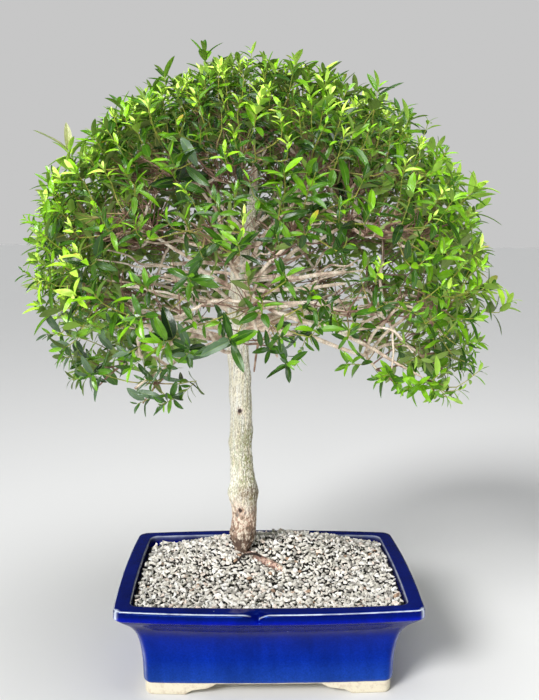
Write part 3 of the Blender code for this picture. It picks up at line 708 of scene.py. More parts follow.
# Skeleton of the tree: the trunk, limbs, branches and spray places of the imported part

treeSizes = {
    "seed": 11,
    "trunk": (
        (-0.029, 0.034, 0.060, 0.0090), (-0.029, 0.034, 0.100, 0.0115),
        (-0.029, 0.033, 0.119, 0.0095), (-0.0285, 0.033, 0.134, 0.0142),
        (-0.027, 0.033, 0.162, 0.0144), (-0.028, 0.033, 0.186, 0.0160),
        (-0.029, 0.033, 0.206, 0.0140), (-0.031, 0.033, 0.244, 0.0126),
        (-0.031, 0.032, 0.285, 0.0124), (-0.033, 0.031, 0.328, 0.0118),
        (-0.035, 0.029, 0.372, 0.0124), (-0.034, 0.026, 0.415, 0.0112),
        (-0.032, 0.022, 0.455, 0.0090), (-0.023, 0.016, 0.494, 0.0062),
        (-0.018, 0.008, 0.532, 0.0046), (-0.016, 0.004, 0.572, 0.0034),
    ),
    "surfaceRoot": (
        (-0.029, 0.033, -0.010, 0.0060), (-0.019, 0.023, -0.0034, 0.0052),
        (-0.008, 0.013, -0.0026, 0.0050), (0.004, 0.004, -0.0022, 0.0048),
        (0.014, -0.004, -0.0030, 0.0042), (0.026, -0.013, -0.0080, 0.0028),
    ),
    "rootlet": (
        (-0.036, 0.012, -0.0060, 0.0014), (-0.030, 0.010, 0.0040, 0.0013),
        (-0.021, 0.009, 0.0070, 0.0015), (-0.012, 0.010, 0.0058, 0.0014),
        (-0.004, 0.012, -0.0010, 0.0012),
    ),
    # height on the trunk, azimuth from +X in degrees, reach, rise and radius
    "limbs": (
        (0.366, 186, 0.150, 0.020, 0.0050), (0.372, 232, 0.150, -0.006, 0.0048),
        (0.378, 322, 0.165, -0.012, 0.0050), (0.384, 8, 0.170, 0.012, 0.0054),
        (0.392, 96, 0.125, 0.030, 0.0048), (0.398, 145, 0.130, 0.030, 0.0046),
        (0.404, 276, 0.150, 0.022, 0.0044), (0.412, 50, 0.140, 0.036, 0.0048),
        (0.424, 205, 0.115, 0.072, 0.0042), (0.432, 345, 0.130, 0.074, 0.0046),
        (0.440, 120, 0.090, 0.080, 0.0040), (0.446, 298, 0.110, 0.078, 0.0040),
        (0.452, 245, 0.090, 0.088, 0.0040), (0.456, 68, 0.100, 0.082, 0.0040),
        (0.490, 170, 0.070, 0.082, 0.0034), (0.494, 15, 0.090, 0.074, 0.0034),
        (0.530, 285, 0.050, 0.056, 0.0028),
    ),
    "limbSteps": 3, "limbForkShare": 0.45, "limbTaper": 0.55, "limbSway": 0.006, "limbArch": 0.010,
    "domeCentre": (0.0045, 0.0), "domeLean": -0.11, "domeLeanStart": 0.43,
    # height, radius, count, first azimuth and tilt of each row of sprays
    "sprayRows": (
        (0.641, 0.000, 1, 0, 88), (0.613, 0.080, 6, 20, 60), (0.566, 0.148, 10, 8, 40),
        (0.496, 0.197, 13, 0, 20), (0.420, 0.209, 13, 14, 0),
    ),
    "rimSprays": (
        (0.346, 0.168, 134, -30), (0.338, 0.187, 164, -34), (0.334, 0.186, 194, -36),
        (0.336, 0.171, 226, -38), (0.364, 0.142, 262, -40), (0.340, 0.171, 316, -34),
        (0.342, 0.188, 345, -32), (0.340, 0.186, 14, -32), (0.350, 0.168, 44, -30),
    ),
    "sprayJitter": 0.007, "twigStart": -0.030, "gap": 0.0003,
}


def spraySites(sizes):
    rng = random.Random(sizes["seed"] + 1)
    places = [(height, radius, first + index * 360 / count, tilt)
              for height, radius, count, first, tilt in sizes["sprayRows"]
              for index in range(count)]
    places += list(sizes["rimSprays"])
    sites = []
    for height, radius, azimuth, tilt in places:
        azimuth = math.radians(azimuth + rng.uniform(-4, 4))
        tilt = math.radians(tilt + rng.uniform(-6, 6))
        radius += rng.uniform(-1, 1) * sizes["sprayJitter"]
        height += rng.uniform(-1, 1) * sizes["sprayJitter"]
        lean = sizes["domeLean"] * max(0.0, height - sizes["domeLeanStart"])
        out = flatWay(azimuth)
        middle = Vector((sizes["domeCentre"][0] + lean, sizes["domeCentre"][1], height))
        sites.append((middle + out * radius, out * math.cos(tilt) + up * math.sin(tilt)))
    return sites


def trunkPoint(sizes, height):
    trunk = sizes["trunk"]
    for lower, upper in zip(trunk, trunk[1:]):
        if lower[2] <= height <= upper[2]:
            share = (height - lower[2]) / (upper[2] - lower[2])
            return Vector(lower[:3]).lerp(Vector(upper[:3]), share)
    return Vector(trunk[-1][:3])


def limbPath(sizes, height, azimuth, reach, rise):
    start = trunkPoint(sizes, height)
    out = flatWay(math.radians(azimuth))
    side = Vector((-out.y, out.x, 0))
    points = []
    for step in range(sizes["limbSteps"] + 1):
        share = step / sizes["limbSteps"]
        sway = sizes["limbSway"] * math.sin(share * 5.0 + azimuth)
        lift = rise * share ** 1.4 + sizes["limbArch"] * math.sin(share * math.pi)
        points.append(start + out * reach * share + side * sway * share + up * lift)
    return points


def branchPath(sizes, place, aim, limbs):
    tip = place + aim * (sizes["twigStart"] - sizes["gap"])
    forks = [(Vector(sizes["trunk"][-1][:3]), 0.0034)]
    for points, radius in limbs:
        last = len(points) - 1
        for index in range(last):
            for share in (0.0, 0.5, 1.0):
                along = (index + share) / last
                if along >= sizes["limbForkShare"]:
                    thick = radius * (1 - sizes["limbTaper"] * along)
                    forks.append((points[index].lerp(points[index + 1], share), thick))
    fork, thick = min(forks, key=lambda item: (item[0] - tip).length
                      + max(0.0, item[0].z - tip.z) * 0.5)
    before = tip - aim * min(0.016, (tip - fork).length * 0.35)
    return [fork, before, tip], thick


# Smooth line through knots, with a point about every step; knots are (point, radius)
def smoothLine(knots, step, wander=0.0, seed=0):
    line = []
    ends = [knots[0]] + list(knots) + [knots[-1]]
    for before, first, second, after in zip(ends, ends[1:], ends[2:], ends[3:]):
        count = max(1, int((second[0] - first[0]).length / step))
        for index in range(count):
            t = index / count
            point = 0.5 * (2 * first[0] + (second[0] - before[0]) * t
                           + (2 * before[0] - 5 * first[0] + 4 * second[0] - after[0]) * t * t
                           + (3 * first[0] - before[0] - 3 * second[0] + after[0]) * t ** 3)
            line.append((point, first[1] + (second[1] - first[1]) * t))
    line.append(knots[-1])
    if wander:
        total = len(line) - 1
        away = Vector((seed * 7.3, 0, 0))
        shifted = []
        for index, (point, radius) in enumerate(line):
            hold = math.sin(math.pi * index / total)
            sway = noise.noise_vector(point * wanderScale + away) * wander * hold
            shifted.append((point + sway, radius))
        line = shifted
    return line


# Chains of points become one mesh of edges, which the wood tree turns into tubes
def chainObject(name, chains):
    verts, edges, radii, young = [], [], [], []
    for chain in chains:
        start = len(verts)
        for index, (point, radius, *rest) in enumerate(chain):
            verts.append(point)
            radii.append(radius)
            young.append(rest[0] if rest else 0.0)
            if index:
                edges.append((start + index - 1, start + index))
    mesh = meshOf(name, verts, edges=edges)
    setFloats(mesh, "thickness", radii)
    setFloats(mesh, "young", young)
    return placeObject(name, mesh)


def woodTree(material):
    tree, given = startTree("wood_tubes", {"Sides": 8, "Bark Depth": 0.1, "Bark Scale": 200.0})
    thickness = storedOf("thickness")
    curve = addNode('GeometryNodeMeshToCurve', {"Mesh": given["Geometry"]})
    profile = addNode('GeometryNodeCurvePrimitiveCircle', {
        "Resolution": given["Sides"], "Radius": 1.0})
    tube = addNode('GeometryNodeCurveToMesh', {
        "Curve": curve.outputs[0], "Profile Curve": profile.outputs[0],
        "Scale": thickness, "Fill Caps": True})
    place = addNode('GeometryNodeInputPosition').outputs[0]
    grain = addNode('ShaderNodeTexNoise', {
        "Vector": place, "Scale": given["Bark Scale"], "Detail": 3.0})
    amount = times(times(minus(grain.outputs[0], 0.5), given["Bark Depth"]), thickness)
    normal = addNode('GeometryNodeInputNormal').outputs[0]
    shift = addNode('ShaderNodeVectorMath', {0: normal, 3: amount}, operation='SCALE')
    moved = addNode('GeometryNodeSetPosition', {
        "Geometry": tube.outputs[0], "Offset": shift.outputs[0]})
    smooth = addNode('GeometryNodeSetShadeSmooth', {
        "Geometry": moved.outputs[0], "Shade Smooth": True})
    endTree(smooth.outputs[0], material)
    return tree


def makeWood(name, chains, tree, material, values):     # values: sides, bark depth and scale
    piece = chainObject(name, chains)
    runTree(piece, tree, dict(zip(("Sides", "Bark Depth", "Bark Scale"), values)))
    finishPiece(piece, material, ["tree_wood"])
    say(name + ": " + str(len(piece.data.polygons)) + " faces")


trunkSizes = {
    "step": 0.0014, "sides": 88, "flakeSize": 0.0030, "top": 0.572, "foot": 0.060,
    # depths of the swellings, the ridges of the foot, the grain and the plates of bark
    "broadSwell": 0.0011, "ringSwell": 0.0008, "ridge": 0.0026, "grain": 0.00060,
    "plate": 0.0020, "plateGap": 0.0005, "gapShare": 0.22,
    # the ridges and the plates fade out below a height, over a reach
    "ridgeTop": (0.158, 0.022), "plateTop": (0.205, 0.045),
    "knots": (     # height, azimuth from +X in degrees, reach, height of the swelling
        (0.169, 250, 0.0042, -0.0018), (0.288, 264, 0.0037, -0.0018),
        (0.186, 178, 0.0080, 0.0022), (0.248, 184, 0.0070, 0.0016), (0.306, 178, 0.0080, 0.0016),
        (0.262, 2, 0.0060, 0.0012), (0.190, 8, 0.0100, 0.0014), (0.326, 350, 0.0070, 0.0012),
        (0.148, 320, 0.0090, 0.0018), (0.140, 225, 0.0080, 0.0020), (0.230, 90, 0.0090, 0.0018),
    ),
}


def makeTrunk(material):
    sizes, shape = treeSizes, trunkSizes
    knots = [(Vector(item[:3]), item[3]) for item in sizes["trunk"]]
    line = smoothLine(knots, shape["step"])
    trunk = chainObject("trunk_bark", [line])
    runTree(trunk, woodTree(material), {
        "Sides": shape["sides"], "Bark Depth": 0.0, "Bark Scale": 1.0})
    mesh = trunk.data
    marks = []
    for vert in mesh.vertices:
        x, y, z = vert.co
        middle = trunkPoint(sizes, max(shape["foot"], min(shape["top"], z)))
        way = vert.co - middle
        way.z = 0
        radius = way.length or 0.001
        way /= radius
        swell = noise.noise(Vector((x * 60, y * 60, z * 24))) * shape["broadSwell"]
        swell += noise.noise(Vector((way.x * 2.2, way.y * 2.2, z * 60))) * shape["ringSwell"]
        hollow = 0.0
        for height, azimuth, reach, bump in shape["knots"]:
            centre = middle + flatWay(math.radians(azimuth)) * radius
            centre.z = height
            uneven = 1 + 0.45 * noise.noise(vert.co * 420)
            share = math.exp(-((vert.co - centre).length / reach * uneven) ** 2)
            swell += share * bump
            if bump < 0:
                hollow = max(hollow, share)
        low, peel = (within((high - z) / fade) for high, fade in (shape["ridgeTop"],
                                                                  shape["plateTop"]))
        ridges = noise.noise(Vector((way.x * 5, way.y * 5, z * 30)) + Vector((3, 1, 2)))
        swell += low * ridges * shape["ridge"]
        spot = Vector((x * 420, y * 420, z * 90))
        swell += noise.fractal(spot, 0.8, 2.1, 3) * shape["grain"]
        # loose plates of bark, each at a height of its own
        spot = Vector((x, y, z * 0.7)) / shape["flakeSize"]
        away, cells = noise.voronoi(spot)
        flake = noise.noise(cells[0] * 3.7 + Vector((0.5, 0.5, 0.5)))
        gap = max(0.0, 1 - (away[1] - away[0]) / shape["gapShare"])
        swell += (flake * shape["plate"] - gap * shape["plateGap"]) * max(0.35 * peel, low)
        marks.append((hollow, vert.co + way * swell, flake - 0.35 * gap))
    for vert, (hollow, place, flake) in zip(mesh.vertices, marks):
        vert.co = place
    setFloats(mesh, "hollow", [hollow for hollow, place, flake in marks])
    setFloats(mesh, "flake", [flake for hollow, place, flake in marks])
    finishPiece(trunk, material, ["tree_wood"])
    say("trunk: " + str(len(mesh.polygons)) + " faces")


branchLook = {
    "limbStep": 0.005, "limbSides": 10, "limbShare": 0.74, "branchStep": 0.006, "branchSides": 7,
    "limbWander": 0.006, "branchWander": 0.006, "branchRadii": (0.0024, 0.0018, 0.0015, 0.0013),
    "limbBark": (0.45, 160.0), "branchBark": (0.45, 260.0),     # depth and scale
}


spareSizes = {
    "count": 24, "lowest": 0.364, "highest": 0.475, "reach": (0.12, 0.190), "rise": (0.006, 0.050),
    "radius": (0.0015, 0.0027), "wander": 0.009, "seenWander": 0.0035,
    # limbs that show in the front: points and radii
    "seen": (
        ((-0.030, 0.025, 0.424, 0.0027), (0.024, -0.030, 0.400, 0.0025),
         (0.064, -0.070, 0.395, 0.0023), (0.088, -0.100, 0.384, 0.0020),
         (0.117, -0.125, 0.369, 0.0015), (0.148, -0.141, 0.353, 0.0005)),
        ((0.075, -0.083, 0.392, 0.0013), (0.095, -0.100, 0.398, 0.0012),
         (0.117, -0.120, 0.397, 0.0012), (0.136, -0.130, 0.378, 0.0004)),
        ((0.117, -0.120, 0.397, 0.0011), (0.117, -0.126, 0.378, 0.0010),
         (0.115, -0.130, 0.360, 0.0008)),
        ((-0.030, 0.024, 0.444, 0.0027), (0.021, -0.040, 0.445, 0.0025),
         (0.072, -0.100, 0.454, 0.0017)),
        ((-0.030, 0.024, 0.427, 0.0023), (0.031, -0.050, 0.434, 0.0021),
         (0.071, -0.110, 0.443, 0.0014)),
        ((-0.030, 0.024, 0.402, 0.0023), (0.031, -0.050, 0.417, 0.0021),
         (0.067, -0.100, 0.426, 0.0014)),
        ((-0.033, 0.022, 0.455, 0.0022), (-0.074, -0.040, 0.460, 0.0021),
         (-0.100, -0.080, 0.460, 0.0017)),
        ((-0.033, 0.022, 0.410, 0.0023), (-0.069, -0.050, 0.437, 0.0019),
         (-0.105, -0.100, 0.450, 0.0014)),
        ((-0.033, 0.028, 0.358, 0.0022), (-0.052, -0.020, 0.365, 0.0020),
         (-0.073, -0.070, 0.397, 0.0017), (-0.094, -0.110, 0.421, 0.0012)),
        ((-0.028, 0.020, 0.438, 0.0020), (-0.009, -0.050, 0.411, 0.0018),
         (-0.002, -0.100, 0.391, 0.0015), (0.004, -0.140, 0.375, 0.0010)),
        ((-0.040, 0.010, 0.372, 0.0026), (-0.075, -0.060, 0.372, 0.0022),
         (-0.110, -0.120, 0.357, 0.0018), (-0.130, -0.145, 0.345, 0.0012)),
    ),
    # tips of leafy shoots that hang from the first three of them
    "leafy": (
        (0.083, -0.125, 0.366), (0.100, -0.140, 0.353), (0.109, -0.145, 0.360),
        (0.118, -0.150, 0.350), (0.125, -0.150, 0.346), (0.137, -0.150, 0.351),
        (0.152, -0.150, 0.344), (0.166, -0.145, 0.338), (0.176, -0.140, 0.334),
        (0.192, -0.130, 0.354), (0.184, -0.130, 0.342), (0.160, -0.140, 0.359),
        (0.150, -0.120, 0.367), (0.128, -0.128, 0.386), (0.031, -0.050, 0.416),
        (0.048, -0.070, 0.412), (0.064, -0.090, 0.410), (0.078, -0.110, 0.414),
        (0.024, -0.040, 0.378), (0.030, -0.050, 0.362), (0.040, -0.050, 0.384),
    ),
}


def seenLines(sizes):
    return [smoothLine([(Vector(point[:3]), point[3]) for point in points], 0.005,
                       sizes["seenWander"], index + 400)
            for index, points in enumerate(sizes["seen"])]


def spareLimbs(sizes):      # thinner limbs between the main ones, each forking once
    spare = spareSizes
    rng = random.Random(sizes["seed"] + 31)
    chains = []
    for index in range(spare["count"]):
        height = spare["lowest"] + (spare["highest"] - spare["lowest"]) * rng.random()
        angle = index * goldenAngle + rng.uniform(-0.2, 0.2)
        reach, rise = rng.uniform(*spare["reach"]), rng.uniform(*spare["rise"])
        radius = rng.uniform(*spare["radius"])
        start = trunkPoint(sizes, height)
        points = []
        for step in range(4):
            out = flatWay(angle + rng.uniform(-0.16, 0.16) * (step > 0))
            points.append(start + out * reach * step / 3 + up * rise * (step / 3) ** 1.3)
        knots = [(point, radius * (1 - 0.2 * step)) for step, point in enumerate(points)]
        chains.append(smoothLine(knots, 0.005, spare["wander"], index + 200))
        out = flatWay(angle + rng.choice((-0.6, 0.6)), 0.25)
        fork = chains[-1][len(chains[-1]) // 2][0]
        knots = [(fork, radius * 0.6), (fork + out * reach * 0.25, radius * 0.5),
                 (fork + out * reach * 0.5, radius * 0.35)]
        chains.append(smoothLine(knots, 0.005, spare["wander"], index + 300))
    return chains + seenLines(spare)


def makeLimbs(sizes, sites, material):
    look = branchLook
    coarse, chains, branches = [], [], []
    for index, (height, azimuth, reach, rise, radius) in enumerate(sizes["limbs"]):
        points = limbPath(sizes, height, azimuth, reach, rise)
        coarse.append((points, radius))
        knots = [(point, radius * look["limbShare"]
                  * (1 - sizes["limbTaper"] * step / sizes["limbSteps"]))
                 for step, point in enumerate(points)]
        chains.append(smoothLine(knots, look["limbStep"], look["limbWander"], index))
    for index, (place, aim) in enumerate(sites):
        (fork, before, tip), thick = branchPath(sizes, place, aim, coarse)
        radii = look["branchRadii"]
        middle = fork.lerp(before, 0.5) + up * 0.004
        knots = [(fork, min(thick * 0.7, radii[0])), (middle, radii[1]), (before, radii[2]),
                 (tip, radii[3])]
        chain = smoothLine(knots, look["branchStep"], look["branchWander"], index + 40)
        branches.append(chain)

    def onBed(knots):
        return [(Vector((x, y, bedHeight(gritSizes, x, y) + lift)), radius)
                for x, y, lift, radius in knots]

    chains += spareLimbs(sizes) + [smoothLine(onBed(sizes["surfaceRoot"]), 0.003, 0.003, 90)]
    rootlet = smoothLine(onBed(sizes["rootlet"]), 0.002, 0.002, 91)
    chains.append([(*knot, 1.0) for knot in rootlet])
    tree = woodTree(material)
    makeWood("limbs_bark", chains, tree, material, (look["limbSides"], *look["limbBark"]))
    makeWood("branches_bark", branches, tree, material, (look["branchSides"], *look["branchBark"]))
    return branches


barkLook = {
    "cream": (0.96, 0.89, 0.70), "pale": (1.0, 0.99, 0.91), "green": (0.31, 0.34, 0.12),
    "brown": (0.17, 0.10, 0.055), "pink": (0.52, 0.31, 0.22), "hollowShade": (0.045, 0.025, 0.02),
    "dark": (0.10, 0.062, 0.046), "flake": (0.84, 0.72, 0.58), "rootlet": (0.025, 0.017, 0.014),
    "stain": (0.48, 0.27, 0.17),
    "limb": (0.82, 0.67, 0.53), "limbDark": (0.36, 0.225, 0.165), "limbPale": (1.0, 0.92, 0.80),
    "buried": (0.62, 0.40, 0.31), "buriedDarkAndShade": (0.17, 0.095, 0.075),
}


def trunkMaterial(look):
    material, shader, place = startMaterial("bark_trunk")
    across, _, height = partsOf(place)
    upright = stretched(place, (1, 1, 0.20))
    grain = noiseOf(upright, 620.0, 5.0, 0.65)
    patches = noiseOf(place, 45.0, 4.0)
    speckle = noiseOf(stretched(place, (1, 1, 0.45)), 760.0, 3.0, 0.6)
    streak = noiseOf(stretched(place, (1, 1, 0.10)), 260.0, 3.0)
    colour = blendOf(rangeOf(streak, 0.36, 0.62), look["cream"], look["pale"])
    # the right side is greener and darker, moss with painted shade on the side away from the
    # light, and a belt over the foot is greener
    side = rangeOf(across, -0.034, -0.016)
    belt = times(rangeOf(height, 0.300, 0.235), rangeOf(height, 0.168, 0.192))
    mossAndShade = plus(times(side, 0.62), times(belt, 0.50))
    mossAndShade = times(plus(mossAndShade, 0.12),
                  rangeOf(plus(times(speckle, 0.7),
                               times(patches, 0.4)), 0.51, 0.60))
    colour = blendOf(mossAndShade, colour, look["green"])
    edge = plus(height, times(patches, 0.03))
    low = rangeOf(edge, 0.208, 0.172)
    plate = attributeOf("flake")
    crumbs = noiseOf(stretched(place, (1, 1, 0.6)), 300.0, 4.0)
    torn = plus(times(plate, 0.7), rangeOf(crumbs, 0.3, 0.7, -0.35, 0.35))
    skin = rampOf(rangeOf(torn, -0.55, 0.55), (
        (0.04, look["dark"]), (0.18, look["brown"]), (0.36, look["pink"]), (0.60, look["flake"])))
    colour = blendOf(times(low, 0.92), colour, skin)
    foot = rangeOf(edge, 0.170, 0.145)
    ragged = rangeOf(torn, 0.36, -0.06)
    colour = blendOf(times(foot, ragged), colour, look["dark"])
    cracks = rangeOf(grain, 0.48, 0.37)
    dots = rangeOf(noiseOf(stretched(place, (1, 1, 0.4)), 1150.0, 2.0), 0.46, 0.37)
    cracks = mathOf('MAXIMUM', cracks, times(dots, 0.85))
    # cracks are darker on the right: painted shade on the side away from the light
    crackShadeRight = rangeOf(across, -0.045, -0.020, 0.50, 0.88)
    colour = blendOf(times(cracks, crackShadeRight), colour, look["brown"])
    # a brownish patch under the bulge, on the right
    patch = times(rangeOf(height, 0.180, 0.186), rangeOf(height, 0.201, 0.195))
    patch = times(patch, rangeOf(across, -0.040, -0.030))
    patch = times(patch, rangeOf(speckle, 0.42, 0.58, 0.15, 0.75))
    colour = blendOf(patch, colour, look["brown"])
    sunk = attributeOf("hollow")
    around = times(rangeOf(sunk, 0.06, 0.40), rangeOf(speckle, 0.42, 0.58))
    colour = blendOf(times(around, 0.7), colour, look["stain"])
    # the middle of each hollow is painted nearly black, as its shade
    colour = blendOf(rangeOf(sunk, 0.50, 0.78), colour, look["hollowShade"])
    endMaterial(shader, colour, 0.88, plus(grain, times(speckle, 0.5)), 0.0012)
    return material


def limbMaterial(look):
    material, shader, place = startMaterial("bark_limbs")
    patches = noiseOf(place, 90.0, 4.0)
    fine = noiseOf(place, 700.0, 4.0, 0.65)
    colour = rampOf(patches, ((0.32, look["limbDark"]), (0.50, look["limb"]),
                              (0.68, look["limbPale"])))
    colour = shadedBy(colour, rangeOf(fine, 0.3, 0.7, 0.65, 1.2))
    across, _, height = partsOf(place)
    soil = rangeOf(height, 0.150, 0.145)
    mottle = noiseOf(place, 240.0, 4.0)
    mottled = rampOf(mottle, ((0.40, look["buriedDarkAndShade"]), (0.50, look["buried"]),
                              (0.62, look["flake"])))
    near = rangeOf(across, 0.002, -0.010)   # darker beside the trunk: painted shade where the root meets it
    mottled = blendOf(times(near, 0.75), mottled, look["buriedDarkAndShade"])
    colour = blendOf(soil, colour, mottled)
    colour = blendOf(attributeOf("young"), colour, look["rootlet"])
    endMaterial(shader, colour, 0.85, fine, 0.0004, 0.8)
    return material


# Crown: twigs fan out from each branch's tip, with opposite pairs of leaves

crownSizes = {
    # the dome that the shoot tips lie on: height, radius, middle x
    "dome": (
        (0.664, 0.000, -0.014), (0.659, 0.045, -0.015), (0.647, 0.080, -0.015),
        (0.631, 0.113, -0.015), (0.610, 0.145, -0.014), (0.584, 0.176, -0.012),
        (0.550, 0.207, -0.011), (0.515, 0.228, -0.010), (0.470, 0.240, -0.006),
        (0.430, 0.242, -0.001), (0.400, 0.234, -0.001), (0.370, 0.222, -0.004),
        (0.345, 0.212, -0.008), (0.326, 0.196, -0.010), (0.312, 0.174, -0.010),
        (0.308, 0.150, -0.010),
    ),
    # lowest shoot tips round the rim: azimuth from +X in degrees, height
    "rim": ((0, 0.340), (38, 0.342), (60, 0.378), (90, 0.370), (135, 0.336), (180, 0.338),
            (200, 0.345), (221, 0.354), (227, 0.324), (243, 0.326), (249, 0.374), (262, 0.388),
            (276, 0.385), (292, 0.424), (305, 0.424), (313, 0.402), (322, 0.366), (330, 0.350),
            (360, 0.340)),
    # radii of a spray's stem, of its forks and of a shoot
    "stemRadii": (0.0013, 0.0011, 0.0008), "forkRadii": (0.0010, 0.0009, 0.0007),
    "shootRadii": (0.0007, 0.0006, 0.0005, 0.00035), "forkShare": (0.42, 0.52),
    "strongShare": 0.13, "strongReach": (0.006, 0.017), "longestLeaf": 0.029,
    # share of new shoots: everywhere, by height, at the sides, in patches, and less low in front
    "freshShare": (0.07, 0.47, 0.52, 0.34), "lowFrontLoss": 0.6,
    # size of a shoot's leaves, and the share and size of shoots with larger ones
    "vigour": (0.66, 0.98), "largeShare": (0.18, 0.24), "largeVigour": (1.12, 1.50),
    "agedShare": 0.22, "agedGain": 1.3, "oldGain": 1.10, "hangingLift": 0.45,
    "riseHigh": 0.75, "riseLow": 0.30, "riseTop": 0.40, "shootJitter": 0.35,
    "twigBark": (4, 0.3, 400.0),        # sides, depth and scale
    "leafSpreads": {"Length Spread": 0.12, "Tilt Spread": 0.28, "Width Spread": 0.14, "Seed": 3},
    "tries": 36000, "spacing": 0.0158, "clump": 0.30, "siteReach": 0.062, "roughness": 0.018,
    "innerShare": 0.10, "stepLength": 0.0080, "shootsPerFork": 5,
    "anchorReach": 0.024, "innerDepth": (0.020, 0.060), "innerSpacing": 1.5, "rimWobble": 0.006,
    "lowSpacing": (0.43, 0.12, 0.20),       # below a height, over a drop, wider by a share
    "frontY": 0.02, "backTop": 0.47,
    # shoots are sparse about these places in the front: x, z, spreads, strength
    "thin": ((-0.010, 0.460, 0.200, 0.150, 0.60), (0.095, 0.385, 0.060, 0.034, 0.80),
             (-0.200, 0.400, 0.060, 0.070, 0.45), (-0.031, 0.425, 0.028, 0.045, 0.70),
             (0.075, 0.455, 0.050, 0.028, 0.45), (-0.140, 0.368, 0.030, 0.024, 0.90),
             (-0.126, 0.540, 0.040, 0.035, 0.95), (-0.095, 0.465, 0.045, 0.020, 0.40),
             (0.110, 0.530, 0.060, 0.040, 0.45), (-0.060, 0.545, 0.060, 0.030, 0.25),
             (-0.150, 0.485, 0.030, 0.035, 0.80), (0.235, 0.415, 0.030, 0.030, 1.20)),
    "thinBack": 0.25,
    # single shoots that stand out of the dome
    "standing": ((-0.214, -0.010, 0.576), (0.061, -0.010, 0.652), (0.136, -0.020, 0.618),
                 (0.258, -0.030, 0.420), (-0.064, 0.010, 0.660), (-0.232, -0.020, 0.520),
                 (0.190, 0.020, 0.566), (0.040, 0.140, 0.632), (-0.120, 0.150, 0.604),
                 (-0.070, 0.000, 0.663), (-0.086, -0.020, 0.654), (-0.050, 0.010, 0.665),
                 (-0.101, 0.000, 0.646), (-0.034, -0.010, 0.664), (0.166, 0.000, 0.598),
                 (0.178, -0.020, 0.584)),
    # each pair from the tip inwards: gap to the next, length, spread in degrees, age
    "pairs": (
        (0.0036, (0.0080, 0.0125), (10, 24), 1.00), (0.0048, (0.0125, 0.0175), (22, 40), 0.80),
        (0.0062, (0.0150, 0.0210), (36, 56), 0.55), (0.0074, (0.0165, 0.0230), (48, 68), 0.32),
        (0.0084, (0.0165, 0.0240), (56, 78), 0.14), (0.0094, (0.0165, 0.0240), (62, 88), 0.00),
    ),
    "missing": (0.0, 0.0, 0.03, 0.10, 0.22, 0.35), "lastPair": 0.86,
    "skyTurn": 0.30, "bareTwigs": (8, 26), "bareLowest": 0.372, "leafKinds": 9, "topHeight": 0.585,
    # single big leaves: foot, tip, the way the blade faces and age (-1 grey, 2 blushing)
    "marked": (
        ((-0.215, -0.010, 0.577), (-0.217, -0.010, 0.609), (0.2, -0.85, 0.4), 2.0),
        ((-0.215, -0.010, 0.577), (-0.238, -0.010, 0.605), (0.5, -0.3, 0.8), 2.0),
        ((-0.052, -0.190, 0.388), (-0.084, -0.190, 0.384), (0.1, -0.9, 0.5), -1.0),
        ((-0.084, -0.160, 0.575), (-0.076, -0.170, 0.552), (0.1, -0.9, 0.5), -1.0),
        ((-0.145, -0.160, 0.388), (-0.123, -0.170, 0.378), (0.1, -0.9, 0.5), -1.0),
        ((-0.130, -0.150, 0.343), (-0.106, -0.160, 0.350), (0.1, -0.9, 0.5), -1.0),
        ((-0.161, -0.160, 0.398), (-0.147, -0.160, 0.380), (0.1, -0.9, 0.5), -1.0),
    ),
}


def tableValue(table, place):   # straight line between the rows of a table
    for (first, low), (second, high) in zip(table, table[1:]):
        if first <= place <= second:
            return low + (high - low) * (place - first) / (second - first)
    return table[-1][1]


